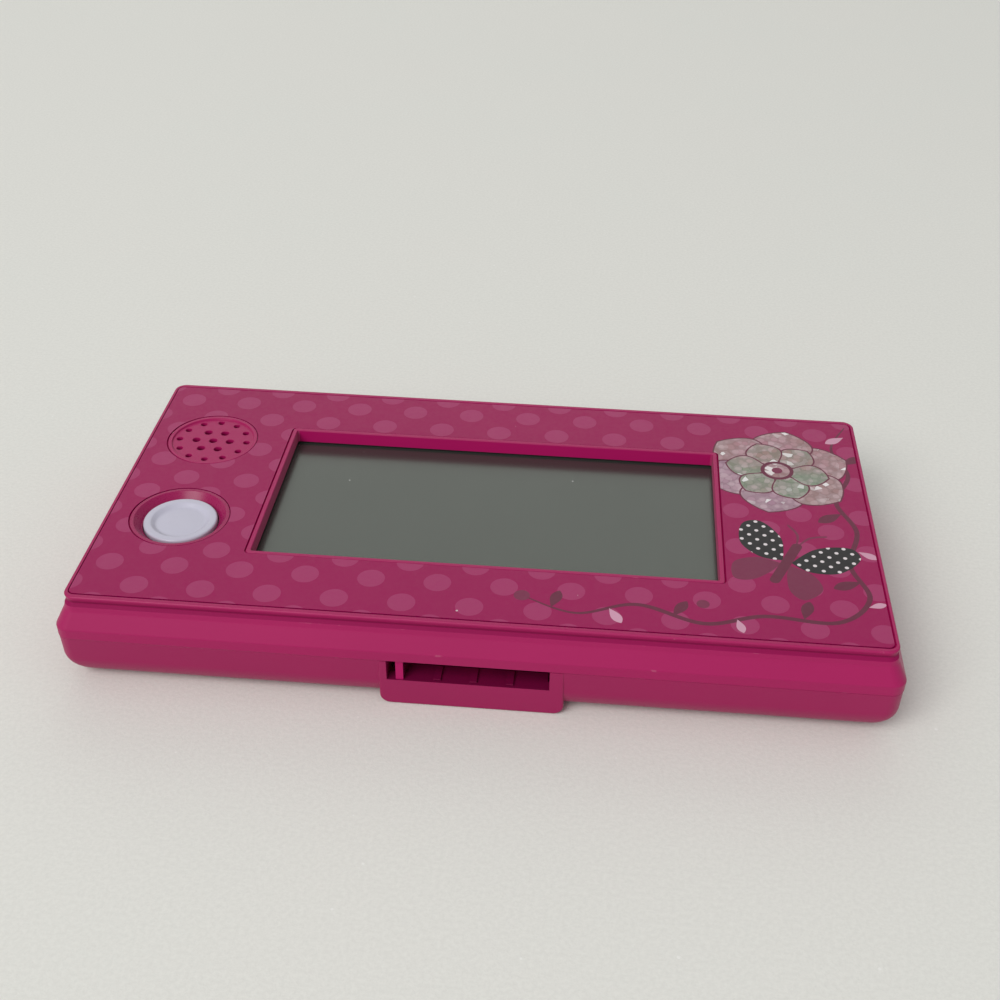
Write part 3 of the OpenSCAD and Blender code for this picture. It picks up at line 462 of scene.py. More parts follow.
class Nodes:
    """Short calls for building a shader tree."""

    def __init__(self, tree):
        self.tree = tree

    def add(self, kind, inputs=None, **settings):
        """A new node; inputs given as sockets are linked, the others set as values."""
        made = self.tree.nodes.new(kind)
        for name, value in settings.items():
            setattr(made, name, value)
        for key, value in (inputs or {}).items():
            if isinstance(value, bpy.types.NodeSocket):
                self.tree.links.new(value, made.inputs[key])
            else:
                made.inputs[key].default_value = value
        return made

    def place(self):
        """Coordinates that stay with the piece."""
        return self.add("ShaderNodeTexCoord").outputs["Object"]

    def axes(self, value):
        """X, Y and Z of a vector or colour."""
        return self.add("ShaderNodeSeparateXYZ", {0: value}).outputs

    def facing_up(self):
        """How far the surface faces up, in the piece's own frame."""
        return self.axes(self.add("ShaderNodeTexCoord").outputs["Normal"])["Z"]

    def maths(self, operation, a, b=0.0):
        """Result of a sum, product and so on of two numbers."""
        return self.add("ShaderNodeMath", {0: a, 1: b}, operation=operation).outputs[0]

    def vector(self, operation, a, b=(0, 0, 0), c=(0, 0, 0)):
        """Result of a vector operation."""
        made = self.add("ShaderNodeVectorMath", {0: a, 1: b, 2: c}, operation=operation)
        return made.outputs["Value" if operation == "LENGTH" else "Vector"]

    def mix(self, factor, a, b):
        """Colour between a and b."""
        a, b = ((*c, 1.0) if isinstance(c, tuple) and len(c) == 3 else c for c in (a, b))
        made = self.add("ShaderNodeMix", {0: factor, 6: a, 7: b}, data_type="RGBA")
        return made.outputs[2]

    def spread(self, value, low, high, to_low=0.0, to_high=1.0):
        """Smooth step from one range to another."""
        inputs = {0: value, 1: low, 2: high, 3: to_low, 4: to_high}
        return self.add("ShaderNodeMapRange", inputs, interpolation_type="SMOOTHSTEP").outputs[0]

    def noise(self, scale, detail=2.0, where=None, roughness=0.5):
        """Soft noise from 0 to 1."""
        inputs = {"Vector": where or self.place(), "Scale": scale, "Detail": detail,
                  "Roughness": roughness}
        return self.add("ShaderNodeTexNoise", inputs).outputs["Fac"]

    def cells(self, scale, where=None, feature="F1"):
        """A node of scattered cells."""
        return self.add("ShaderNodeTexVoronoi", {"Vector": where or self.place(), "Scale": scale},
                        feature=feature)

    def effect(self, name, **inputs):
        """A shared effect group with its own values."""
        made = self.tree.nodes.new("ShaderNodeGroup")
        made.node_tree = effect_group(name)
        for key, value in inputs.items():
            made.inputs[key].default_value = value
        return made.outputs

    def grain(self, scale):
        """Height and tone of a moulded or printed surface; scale in millimetres."""
        return self.effect("Moulded Grain", Size=scale * MM)

    def scratches(self, spacing):
        """Mask of hairlines; spacing in millimetres."""
        return self.effect("Hairlines", Spacing=spacing * MM)["Mask"]

    def specks(self, spacing, amount):
        """Mask of dust specks; spacing in millimetres."""
        amount *= finish("dust")
        return self.effect("Dust Specks", Spacing=spacing * MM, Amount=amount)["Mask"]

    def toned(self, tone, rgb, darker, lighter):
        """A colour that drifts between two shades of itself."""
        return self.mix(tone, shade_of(rgb, darker), shade_of(rgb, lighter))

    def rough(self, value, low, high):
        """Roughness that follows a noise from low to high."""
        return self.spread(value, 0.3, 0.7, low, high)

    def bump(self, height, distance, strength=1.0):
        """Normal of a surface raised by height; distance in millimetres."""
        inputs = {"Height": height, "Distance": distance * MM, "Strength": strength}
        return self.add("ShaderNodeBump", inputs).outputs["Normal"]


# ---------- shared effects ----------

def moulded_grain(n, values):
    """Fine eggshell of a moulding tool, and a slow drift of tone."""
    scale = n.maths("DIVIDE", 1.0, values["Size"])
    fine = n.noise(scale, detail=3.0)
    drift = n.noise(38.0, detail=2.0)
    return {"Height": fine, "Tone": drift}


def worn_edge(n, values):
    """Rubbed patches along rounded edges."""
    edge = n.add("ShaderNodeAttribute", attribute_name="rubbed").outputs["Fac"]
    patches = n.noise(260.0, detail=4.0, roughness=0.65)
    level = n.maths("SUBTRACT", 0.75, n.maths("MULTIPLY", values["Amount"], 0.3))
    bare = n.spread(patches, level, n.maths("ADD", level, 0.08))
    return {"Mask": n.maths("MULTIPLY", edge, bare)}


def dust_specks(n, values):
    """Sparse specks of dust and lint lying on upward faces."""
    cells = n.cells(n.maths("DIVIDE", 1.0, values["Spacing"]))
    chance = n.axes(cells.outputs["Color"])
    radius = n.maths("MULTIPLY", n.maths("POWER", chance["X"], 3.0), 0.09)
    inside = n.maths("LESS_THAN", cells.outputs["Distance"], radius)
    kept = n.maths("LESS_THAN", chance["Y"], values["Amount"])
    up = n.spread(n.facing_up(), 0.4, 0.8)
    return {"Mask": n.maths("MULTIPLY", n.maths("MULTIPLY", inside, kept), up)}


def hairlines(n, values):
    """Fine scattered scratches running in two rough directions."""
    masks = []
    for turn, stretch, seed in ((0.35, 9.0, 3.1), (-0.8, 7.0, 8.7)):
        mapped = n.add("ShaderNodeMapping", {"Vector": n.place(), "Location": (seed, 0.0, 0.0),
                                             "Rotation": (0.0, 0.0, turn),
                                             "Scale": (stretch, 1.0, 1.0)})
        scale = n.maths("DIVIDE", 0.12, values["Spacing"])
        cells = n.cells(scale, where=mapped.outputs[0], feature="DISTANCE_TO_EDGE")
        patch = n.spread(n.noise(90.0 + seed, detail=1.0), 0.55, 0.7)
        line = n.spread(cells.outputs["Distance"], 0.0004, 0.0012, 1.0, 0.0)
        masks.append(n.maths("MULTIPLY", line, patch))
    return {"Mask": n.maths("MAXIMUM", *masks)}


def polka_dots(n, values):
    """Staggered rows of round dots over the label."""
    dots = []
    for start in DOT_STARTS:
        moved = n.vector("SUBTRACT", n.place(), (start[0] * MM, start[1] * MM, 0.0))
        half = (DOT_PITCH[0] / 2 * MM, DOT_PITCH[1] / 2 * MM, 1.0)
        cell = n.vector("WRAP", moved, half, tuple(-h for h in half))
        flat = n.vector("MULTIPLY", cell, (1.0, 1.0, 0.0))
        dots.append(n.vector("LENGTH", flat))
    nearest = n.maths("MINIMUM", *dots)
    outer = n.maths("ADD", values["Radius"], DOT_BLUR * MM)
    return {"Mask": n.maths("SUBTRACT", 1.0, n.spread(nearest, values["Radius"], outer))}


def rolled_metal(n, _):
    """Drawn lines and faint blotches of plated metal."""
    mapped = n.add("ShaderNodeMapping", {"Vector": n.place(), "Scale": (1.0, 14.0, 3.0)})
    lines = n.noise(900.0, detail=3.0, where=mapped.outputs[0])
    return {"Height": lines, "Tone": n.noise(220.0, detail=3.0)}


DOT_PITCH = (12.38, 11.93)       # millimetres between dots in a row, and between rows of one kind
DOT_STARTS = ((-63.1, -33.85), (-69.7, -27.4))      # one dot of each kind of row
DOT_BLUR = 0.06                  # millimetres over which a dot's edge fades
EFFECTS = {
    "Moulded Grain": (moulded_grain, {"Size": 0.3 * MM}, ("Height", "Tone")),
    "Worn Edge": (worn_edge, {"Amount": 0.5}, ("Mask",)),
    "Dust Specks": (dust_specks, {"Spacing": 3 * MM, "Amount": 0.4}, ("Mask",)),
    "Hairlines": (hairlines, {"Spacing": 12 * MM}, ("Mask",)),
    "Polka Dots": (polka_dots, {"Radius": 2.53 * MM}, ("Mask",)),
    "Rolled Metal": (rolled_metal, {}, ("Height", "Tone")),
}


def effect_group(name):
    """The node group of a shared effect, built on its first use."""
    tree = bpy.data.node_groups.get(name)
    if tree:
        return tree
    make, inputs, outputs = EFFECTS[name]
    tree = bpy.data.node_groups.new(name, "ShaderNodeTree")
    kind = "NodeSocketFloat"
    for label, value in inputs.items():
        socket = tree.interface.new_socket(name=label, in_out="INPUT", socket_type=kind)
        socket.default_value = value
    for label in outputs:
        tree.interface.new_socket(name=label, in_out="OUTPUT", socket_type=kind)
    nodes = Nodes(tree)
    results = make(nodes, nodes.add("NodeGroupInput").outputs)
    nodes.add("NodeGroupOutput", results)
    return tree


# ---------- materials ----------

def principled(name, constants):
    """A new material; returns its node helper and its shader."""
    made = bpy.data.materials.new(name)
    made.use_nodes = True
    shader = made.node_tree.nodes["Principled BSDF"]
    for key, value in constants.items():
        shader.inputs[key].default_value = value
    return Nodes(made.node_tree), shader


def connect(n, shader, **sockets):
    """Links results to the shader's sockets, named with underscores."""
    for key, value in sockets.items():
        n.tree.links.new(value, shader.inputs[key.replace("_", " ")])


def shade_of(rgb, factor):
    """A colour made lighter or darker."""
    return tuple(min(1.0, c * factor) for c in rgb)


DUST_GREY = (0.75, 0.70, 0.70)
LINT_GREY = (0.6, 0.6, 0.6)


def plastic(name, rgb, roughness=0.42, grain=0.25, bump=0.006, dust=0.25, coat=0.0, rub=0.35,
            gloss=0.3, shade_band_z=None):
    """Moulded plastic: eggshell grain, slow drift of tone, rubbed edges, hairlines and dust.

    Rub is how far worn edges pale; the last argument, if given, is the height round which a band of
    painted shade darkens the piece."""
    n, shader = principled(name, {"Specular IOR Level": gloss, "Coat Weight": coat,
                                  "Coat Roughness": 0.2})
    moulded = n.grain(grain)
    worn = n.effect("Worn Edge", Amount=finish("wear"))["Mask"]
    lines = n.scratches(14)
    dusty = n.specks(2.6, dust)
    toned = n.toned(moulded["Tone"], rgb, 0.93, 1.07)
    # painted shade: a darker band round the given height, where the groove under the rim lies in
    # shade
    if shade_band_z:
        away = n.maths("ABSOLUTE", n.maths("SUBTRACT", n.axes(n.place())["Z"], shade_band_z * MM))
        toned = n.mix(n.spread(away, 0.25 * MM, 0.60 * MM, 0.5, 0.0), toned, shade_of(rgb, 0.35))
    pale = shade_of(tuple(c + 0.25 for c in rgb), 1.0)
    rubbed = n.mix(n.maths("MULTIPLY", worn, rub), toned, pale)
    dusted = n.mix(n.maths("MULTIPLY", dusty, 0.7), rubbed, DUST_GREY)
    rough = n.rough(moulded["Height"], roughness - 0.05, roughness + 0.05)
    rough = n.maths("SUBTRACT", rough, n.maths("MULTIPLY", lines, 0.08))
    connect(n, shader, Base_Color=dusted, Roughness=rough,
            Normal=n.bump(moulded["Height"], bump))


def label_print(name):
    """Printed film: plum ground, lighter dots and a slight orange-peel gloss."""
    n, shader = principled(name, {"Specular IOR Level": 0.2})
    moulded = n.grain(0.9)
    dots = n.effect("Polka Dots")["Mask"]
    lines = n.scratches(16)
    dusty = n.specks(3.2, 0.35)
    ground, dot = tuple(finish("label")), tuple(finish("dots"))
    printed = n.mix(dots, n.toned(moulded["Tone"], ground, 0.94, 1.06),
                    n.toned(moulded["Tone"], dot, 0.95, 1.05))
    dusted = n.mix(n.maths("MULTIPLY", dusty, 0.6), printed, DUST_GREY)
    rough = n.rough(moulded["Height"], 0.34, 0.44)
    rough = n.maths("ADD", rough, n.maths("MULTIPLY", lines, 0.1))
    connect(n, shader, Base_Color=dusted, Roughness=rough, Normal=n.bump(moulded["Height"], 0.004))


def spangle_print(name, pale, tints):
    """Printed spangles: small round scales that catch different tints."""
    n, shader = principled(name, {"Specular IOR Level": 0.45})
    cells = n.cells(1 / (1.5 * MM))
    chance = n.axes(cells.outputs["Color"])
    drift = n.spread(n.noise(75.0, detail=1.0), 0.35, 0.65)
    tint = n.mix(drift, tints[0], tints[1])
    scale = n.mix(n.maths("MULTIPLY", chance["X"], 0.5), tint, pale)
    rim = n.spread(cells.outputs["Distance"], 0.42, 0.6, 0.0, 0.4)
    glint = n.spread(chance["Y"], 0.93, 0.98, 0.0, 0.7)
    shaded = n.mix(rim, scale, shade_of(tints[1], 0.55))
    connect(n, shader, Base_Color=n.mix(glint, shaded, (0.93, 0.93, 0.93)),
            Roughness=n.spread(chance["Z"], 0.0, 1.0, 0.25, 0.45),
            Normal=n.bump(cells.outputs["Distance"], 0.02))


SPOT_PITCH = 2.1            # millimetres between the spots on the butterfly's wings
SPOT_R = 0.36


def flat_print(name, rgb, spots=None):
    """Printed ink on the label, plain or with small spots."""
    n, shader = principled(name, {"Specular IOR Level": 0.35})
    moulded = n.grain(0.9)
    ink = n.toned(moulded["Tone"], rgb, 0.85, 1.15)
    if spots:
        tilted = n.add("ShaderNodeMapping", {"Vector": n.place(), "Rotation": (0.0, 0.0, 0.785)})
        half = (SPOT_PITCH / 2 * MM, SPOT_PITCH / 2 * MM, 1.0)
        cell = n.vector("WRAP", tilted.outputs[0], half, tuple(-h for h in half))
        reach = n.vector("LENGTH", n.vector("MULTIPLY", cell, (1.0, 1.0, 0.0)))
        ink = n.mix(n.spread(reach, SPOT_R * MM, (SPOT_R + DOT_BLUR) * MM, 1.0, 0.0), ink, spots)
    connect(n, shader, Base_Color=ink, Roughness=n.rough(moulded["Height"], 0.34, 0.42),
            Normal=n.bump(moulded["Height"], 0.004))


def display_panel(name):
    """Unlit liquid crystal panel: grey-green reflector under glass, with dust near its edges."""
    n, shader = principled(name, {"Metallic": 0.7, "Specular IOR Level": 0.3})
    panel = tuple(finish("panel"))
    drift = n.noise(25.0, detail=2.0)
    weave = n.noise(5200.0, detail=1.0)
    dusty = n.specks(2.2, 0.5)
    lint = n.specks(1.1, 0.9)
    place = n.axes(n.place())
    across = n.maths("DIVIDE", n.maths("ABSOLUTE", place["X"]), size("window_width") / 2 * MM)
    along = n.maths("SUBTRACT", place["Y"], size("window_y") * MM)
    along = n.maths("DIVIDE", n.maths("ABSOLUTE", along), size("window_depth") / 2 * MM)
    edge = n.maths("MAXIMUM", n.spread(across, 0.93, 0.98), n.spread(along, 0.84, 0.96))
    specks = n.maths("MAXIMUM", n.maths("MULTIPLY", dusty, 0.5), n.maths("MULTIPLY", lint, edge))
    toned = n.toned(drift, panel, 0.95, 1.06)
    connect(n, shader, Base_Color=n.mix(specks, toned, LINT_GREY),
            Roughness=n.rough(weave, 0.225, 0.24), Normal=n.bump(weave, 0.00005))


def clear_lens(name):
    """Clear moulded window with faint hairlines."""
    n, shader = principled(name, {"IOR": 1.49, "Metallic": 0.0, "Transmission Weight": 1.0})
    lines = n.scratches(14)
    dusty = n.specks(3, 0.3)
    connect(n, shader, Base_Color=n.mix(dusty, (0.95, 0.97, 0.98), (0.7, 0.7, 0.7)),
            Roughness=n.maths("MULTIPLY", lines, 0.1))


def metal(name, rgb, roughness, bump=0.003):
    """Plated metal with drawn lines and blotches."""
    n, shader = principled(name, {"Metallic": 1.0})
    rolled = n.effect("Rolled Metal")
    connect(n, shader, Base_Color=n.toned(rolled["Tone"], rgb, 0.82, 1.05),
            Roughness=n.rough(rolled["Tone"], roughness - 0.06, roughness + 0.08),
            Normal=n.bump(rolled["Height"], bump))


def circuit_board(name):
    """Green solder mask over copper tracks, with plated pads."""
    n, shader = principled(name, {"IOR": 1.5, "Coat Weight": 0.3, "Coat Roughness": 0.2})
    cells = n.cells(1 / (2.6 * MM))
    cells.distance = "CHEBYCHEV"
    tracks = n.cells(1 / (4.2 * MM), feature="DISTANCE_TO_EDGE").outputs["Distance"]
    copper = n.spread(tracks, 0.05, 0.07, 1.0, 0.0)
    chance = n.axes(cells.outputs["Color"])
    pad = n.maths("MULTIPLY", n.maths("LESS_THAN", cells.outputs["Distance"], 0.2),
                  n.maths("LESS_THAN", chance["X"], 0.35))
    mask = n.mix(copper, (0.012, 0.11, 0.035), (0.03, 0.19, 0.06))
    connect(n, shader, Base_Color=n.mix(pad, mask, (0.75, 0.72, 0.66)),
            Metallic=pad, Roughness=n.rough(n.noise(700.0), 0.3, 0.42),
            Normal=n.bump(copper, 0.03))


def rubber(name, rgb, roughness=0.7, grain=0.15):
    """Matt rubber or foam with a fine tooth."""
    n, shader = principled(name, {"IOR": 1.45})
    moulded = n.grain(grain)
    dusty = n.specks(1.8, 0.4)
    toned = n.toned(moulded["Tone"], rgb, 0.85, 1.15)
    connect(n, shader, Base_Color=n.mix(n.maths("MULTIPLY", dusty, 0.5), toned, LINT_GREY),
            Roughness=n.rough(moulded["Height"], roughness - 0.08, roughness + 0.08),
            Normal=n.bump(moulded["Height"], 0.02))


def wires(name, edge_x, red_right):
    """Soft wire sheaths, red on one side of a line and black on the other."""
    n, shader = principled(name, {"IOR": 1.5})
    across = n.axes(n.place())["X"]
    right = n.maths("GREATER_THAN", across, edge_x * MM)
    moulded = n.grain(0.2)
    red = n.mix(moulded["Tone"], (0.42, 0.012, 0.012), (0.50, 0.02, 0.018))
    black = n.mix(moulded["Tone"], (0.012, 0.012, 0.013), (0.02, 0.02, 0.021))
    colours = (black, red) if red_right else (red, black)
    connect(n, shader, Base_Color=n.mix(right, *colours),
            Roughness=n.rough(moulded["Height"], 0.38, 0.5),
            Normal=n.bump(moulded["Height"], 0.01))


def ribbon_film(name):
    """Amber film over parallel copper tracks."""
    n, shader = principled(name, {"IOR": 1.5, "Coat Weight": 0.4, "Coat Roughness": 0.1})
    across = n.axes(n.place())["Y"]
    stripe = n.maths("PINGPONG", across, 0.35 * MM)
    track = n.spread(stripe, 0.14 * MM, 0.18 * MM)
    tone = n.noise(160.0)
    film = n.mix(tone, (0.42, 0.16, 0.02), (0.5, 0.21, 0.03))
    connect(n, shader, Base_Color=n.mix(track, film, (0.62, 0.30, 0.08)),
            Roughness=n.rough(tone, 0.22, 0.34), Normal=n.bump(track, 0.02))


def table_cloth(name):
    """Pale fine fabric of the table."""
    n, shader = principled(name, {"IOR": 1.45, "Specular IOR Level": 0.2})
    rgb = tuple(finish("floor"))
    weave = n.noise(1300.0, detail=4.0, roughness=0.7)
    clouds = n.noise(14.0, detail=2.0)
    flecks = n.effect("Dust Specks", Spacing=3.4 * MM, Amount=0.5)["Mask"]
    toned = n.mix(clouds, (rgb[0] * 1.02, rgb[1], rgb[2] * 0.99),
                  (rgb[0] * 0.98, rgb[1], rgb[2] * 0.99))
    woven = n.toned(n.spread(weave, 0.3, 0.7), rgb, 0.90, 1.04)
    cloth = n.mix(0.5, toned, woven)
    connect(n, shader, Base_Color=n.mix(n.maths("MULTIPLY", flecks, 0.5), cloth, (0.9, 0.9, 0.88)),
            Roughness=n.rough(weave, 0.8, 0.95), Normal=n.bump(weave, 0.10, 0.6))


PEARL = (0.60, 0.46, 0.50)
MATERIALS = {
    # shell plastic, with a band of painted shade round the groove under the rim
    "shell_pink": lambda name: plastic(name, tuple(finish("shell")), gloss=0.33, rub=0.2,
                                       shade_band_z=size("foot_z") + 0.65),
    # shell darkened for the base: painted shade on its lower, inward-turning faces
    "tray_pink": lambda name: plastic(name, shade_of(finish("shell"), 0.91), gloss=0.35, rub=0.2),
    # darker, matt copy of the shell: painted shade in the groove under the rim
    "groove_pink": lambda name: plastic(name, (0.27, 0.004, 0.074), 0.6, dust=0.0, rub=0.0,
                                        gloss=0.12),
    # lighter copy of the shell: painted light on the window's walls and the post by the latch
    # opening
    "wall_pink": lambda name: plastic(name, shade_of(finish("shell"), 1.2), 0.45, dust=0.0,
                                      rub=0.0, gloss=0.2),
    # darker copy of the shell: painted shade in the power button's well; its lower roughness is the
    # well's own polish
    "well_pink": lambda name: plastic(name, shade_of(finish("shell"), 0.85), 0.3, rub=0.1),
    # much darker copy of the shell: painted shade inside the latch opening and on the latch's grip
    "recess_pink": lambda name: plastic(name, shade_of(finish("shell"), 0.42), 0.5, gloss=0.2,
                                        rub=0.1),
    # dark matt cut edge of the label: painted shade in the gap round it
    "label_edge": lambda name: plastic(name, (0.22, 0.001, 0.06), 0.6, dust=0.0, rub=0.0,
                                       gloss=0.05),
    # darker, greyer rubber at the foot of the window's walls: painted shade, with real dust specks
    "wall_dust": lambda name: rubber(name, (0.38, 0.050, 0.13), 0.8, 0.4),
    # dark matt pocket floor: painted shade in the gap round the label
    "pocket_glue": lambda name: plastic(name, (0.33, 0.001, 0.07), 0.6, dust=0.0, rub=0.0,
                                        gloss=0.03),
    "deck_pink": lambda name: plastic(name, tuple(finish("deck")), 0.5, 0.35, 0.012),
    "button_white": lambda name: plastic(name, tuple(finish("button")), 0.34, 1.2, 0.0002, 0.0,
                                         0.2, 0.0),
    "frame_white": lambda name: plastic(name, (0.68, 0.68, 0.66), 0.5, 0.4, 0.01, 0.1, 0.0, 0.0),
    "label_print": label_print,
    "petal_pink": lambda name: spangle_print(name, PEARL, ((0.37, 0.15, 0.20), (0.33, 0.19, 0.19))),
    "petal_lilac": lambda name: spangle_print(name, PEARL, ((0.30, 0.13, 0.23),
                                                            (0.36, 0.20, 0.27))),
    "petal_mint": lambda name: spangle_print(name, PEARL, ((0.30, 0.19, 0.17), (0.19, 0.25, 0.17))),
    "wing_black": lambda name: flat_print(name, (0.008, 0.006, 0.008), (0.72, 0.66, 0.68)),
    "wing_plum": lambda name: flat_print(name, (0.17, 0.010, 0.055)),
    "vine_plum": lambda name: flat_print(name, (0.12, 0.004, 0.035)),
    "sprig_pale": lambda name: flat_print(name, (0.60, 0.30, 0.42)),
    "display_grey": display_panel,
    "clear_lens": clear_lens,
    "screw_steel": lambda name: metal(name, (0.50, 0.51, 0.53), 0.32),
    "contact_nickel": lambda name: metal(name, (0.66, 0.64, 0.60), 0.22),
    "cell_steel": lambda name: metal(name, (0.62, 0.63, 0.65), 0.26),
    "circuit_green": circuit_board,
    "chip_black": lambda name: plastic(name, (0.012, 0.012, 0.013), 0.3, 0.5, 0.02, 0.2, 0.2, 0.0),
    "keypad_rubber": lambda name: rubber(name, (0.52, 0.52, 0.53), 0.6),
    "foam_black": lambda name: rubber(name, (0.014, 0.014, 0.015), 0.85, 0.25),
    "stud_rubber": lambda name: rubber(name, (0.02, 0.02, 0.021), 0.7),
    "speaker_dark": lambda name: rubber(name, (0.035, 0.03, 0.033), 0.75, 0.4),
    "wire_black": lambda name: wires(name, 1000, True),
    "battery_wire": lambda name: wires(name, -3, True),
    "speaker_wire": lambda name: wires(name, -61.75, False),
    "ribbon_amber": ribbon_film,
    "table_cloth": table_cloth,
}


def material(name):
    """A material of this file, built on its first use."""
    if name not in bpy.data.materials or not bpy.data.materials[name].get("console"):
        stale = bpy.data.materials.get(name)
        if stale:
            stale.name = name + "_packed"
        MATERIALS[name](name)
        bpy.data.materials[name]["console"] = True
    return bpy.data.materials[name]


# ---------- casing of the lid ----------

REAR_LIMIT = 36.9           # back edge of the space inside both halves
LID_INSIDE = -1.62          # how far the lid's inner wall stands out past the face
LABEL_POCKET = 0.35         # depth of the label's pocket below the top
CEILING = 1.9               # depth of the lid's inner ceiling below the top
WINDOW_WALL = 2.75          # depth of the window's walls below the top
WINDOW_SKIRT = 1.4          # how far the window's walls reach out where they stand on the gasket
RIM_LIP = 0.71              # width of the rim in front of the label and behind it
RIM_SIDE = 0.4              # its width beside the label
RIM_BULGE = 0.30            # how far the rim's edge overhangs the face
RIM_ROUND = 0.09            # fillet of the low rims that border the label
WINDOW_LIP = 0.85           # width of the rim round the window
WALL_FOOT_HEIGHT = 0.45           # height of the window walls' foot, darker as painted shade and dusted
GROOVE = (-0.12, 0.42)      # lower and upper limit, above the foot, of the groove's band of painted shade
SPEAKER_RING = 9.35         # outer radius of the speaker's raised ring
SPEAKER_DISH = 8.6          # its inner radius, where the dish starts
SPEAKER_DEPTH = 0.36
SPEAKER_CUP = (9.3, 10.4, 15.6)         # inner and outer radius and lower edge of the speaker's cup
HOLE_ROUND = 0.14           # how far a grille hole's soft edge reaches
WELL_RING = 9.65            # outer radius of the rim round the power button's well
WELL_TOP = 8.95             # its inner radius
WELL_DEPTH = 1.5            # depth at which the cone ends
WELL_COLLAR = (9.2, 16.5)               # outer radius and lower edge of the bore's collar
BUTTON_GAP = 0.2
HINGE_MIDDLE = 45
KNUCKLE = (4.7, 12)         # half lengths of the lid knuckle and of a whole hinge
KNUCKLE_GAP = 0.3
BARREL_ROOM = 0.3           # clearance round the other half's knuckles
CABLE_BARREL = 14           # half length of the barrel that the cable runs through
CABLE_SLOT = 9.8            # how far from its middle the cable leaves it
CABLE_BORE = 1.3
CABLE_WAY = 0.85            # half height of the cable's sloping way
PIN_R = 0.8
PIN_CLEAR = 0.05
SCREW_PILOT = 1.02
COLUMN_R = 2.3
LID_MATERIALS = ("shell_pink", "pocket_glue", "well_pink", "wall_dust", "groove_pink", "wall_pink")
SHELL, POCKET_SHADE, WELL_SHADE, WALL_FOOT_SHADE, GROOVE_SHADE, LIT_WALL = range(6)      # their places in that row
LID_SCREWS = [(-69.5, -32.5), (-9, -32.5), (69.5, -32.5), (-69.5, 32.5), (0, 32.5), (69.5, 32.5)]
BASE_SCREWS = [(-66, -29.5), (66, -29.5), (-27, -29.5), (27, -29.5), (-66, 29.5), (66, 29.5)]
BOARD_SCREWS = [(x, y) for x in (-57, 57) for y in (-21.5, 9)]
LID_COLUMN_LOW = 13.85      # lower end of the lid's screw columns
LID_PILOT = (13.5, 17.4)    # lower and upper end of their bores


def speaker_centre():
    """Middle of the grille, in plan."""
    return (-size("speaker_x"), size("speaker_y"))


def button_centre():
    """Middle of the power button, in plan."""
    return (-size("button_x"), -size("button_y"))


def grille_holes():
    """(centre, radius) of each of the speaker's holes: one, a ring of six and a ring of twelve."""
    x, y = speaker_centre()
    holes = [((x, y), 0.85)]
    for count, reach, radius in ((6, 3.6, 0.85), (12, 7.2, 0.68)):
        for i in range(count):
            a = 2 * math.pi * i / count
            holes.append(((x + reach * math.cos(a), y + reach * math.sin(a)), radius))
    return holes


def knuckle(x0, x1, up):
    """Hinge barrel, and the web that joins it to its own half."""
    y, z, r = size("hinge_y"), size("split_z"), size("barrel_r")
    back = size("face_depth") / 2
    low, high = (z, z + r) if up > 0 else (z - r, z)
    return [hinge_rod(x0, x1, r), block((x0, back, low), (x1, y, high))]


def stations(near, far):
    """Left and right ends of the outer knuckles of both hinge stations."""
    half = (far - near) / 2
    middles = [s * HINGE_MIDDLE + e * (near + far) / 2 for s in (-1, 1) for e in (-1, 1)]
    return [(middle - half, middle + half) for middle in middles]


def station_rods(half, radius):
    """Bar along the axis in the middle of each hinge station."""
    return [hinge_rod(s * HINGE_MIDDLE - half, s * HINGE_MIDDLE + half, radius) for s in (-1, 1)]


def soften_hinge(casing):
    """Rounds the edges of a half's knuckles."""
    soften(casing, 0.2, (-60, size("face_depth") / 2 + 0.3, 8), (60, 44, 14))


def cable_channel(up):
    """Sloping way for the cable from its barrel into one half."""
    y, z = size("hinge_y"), size("split_z")
    reach, side = y - REAR_LIMIT + 1, CABLE_WAY * math.sqrt(2)
    x, far_z = up * CABLE_SLOT, z + up * reach
    points = [(y, z - side), (y, z + side), (y - reach, far_z + side), (y - reach, far_z - side)]
    return side_prism(x - CABLE_BORE, x + CABLE_BORE, points)


def lid_wall_rings():
    """Rings of the lid's side wall, from the ceiling round the lower edge to the label pocket."""
    top, foot, crease, split = (size(n) for n in ("top_z", "foot_z", "crease_z", "split_z"))
    bottom, out = split + size("split_gap") / 2, size("crease_grow") - 0.05
    inside = [(LID_INSIDE, top - CEILING), (LID_INSIDE, foot), (0.45, crease),
              (0.45, bottom + 0.15), (0.6, bottom)]
    outside = rounded([(out - 0.2, bottom), (out, bottom, 0.12), (size("crease_grow"), crease, 0.8),
                       (0.60, foot - 1.05, 1.5), (0.40, foot - 0.08, 0.3),
                       (-0.20, foot + 0.4, 0.25), (RIM_BULGE, foot + 1.75, 0.3),
                       (0.10, top, 0.2), (-0.25, top)])
    rings = [lifted(case_outline(grow, REAR_LIMIT + 0.1), z) for grow, z in inside]
    for grow, z in outside:
        shallow = max(0.0, 0.1 - grow) if z < top - 0.5 else 0.0
        rings.append(lifted(case_outline(grow, side=shallow), z))
    lip = [(RIM_ROUND, top), (0.03, top - 0.03), (0, top - RIM_ROUND), (0, top - LABEL_POCKET)]
    return rings + [lifted(pocket_outline(grow), z) for grow, z in lip]


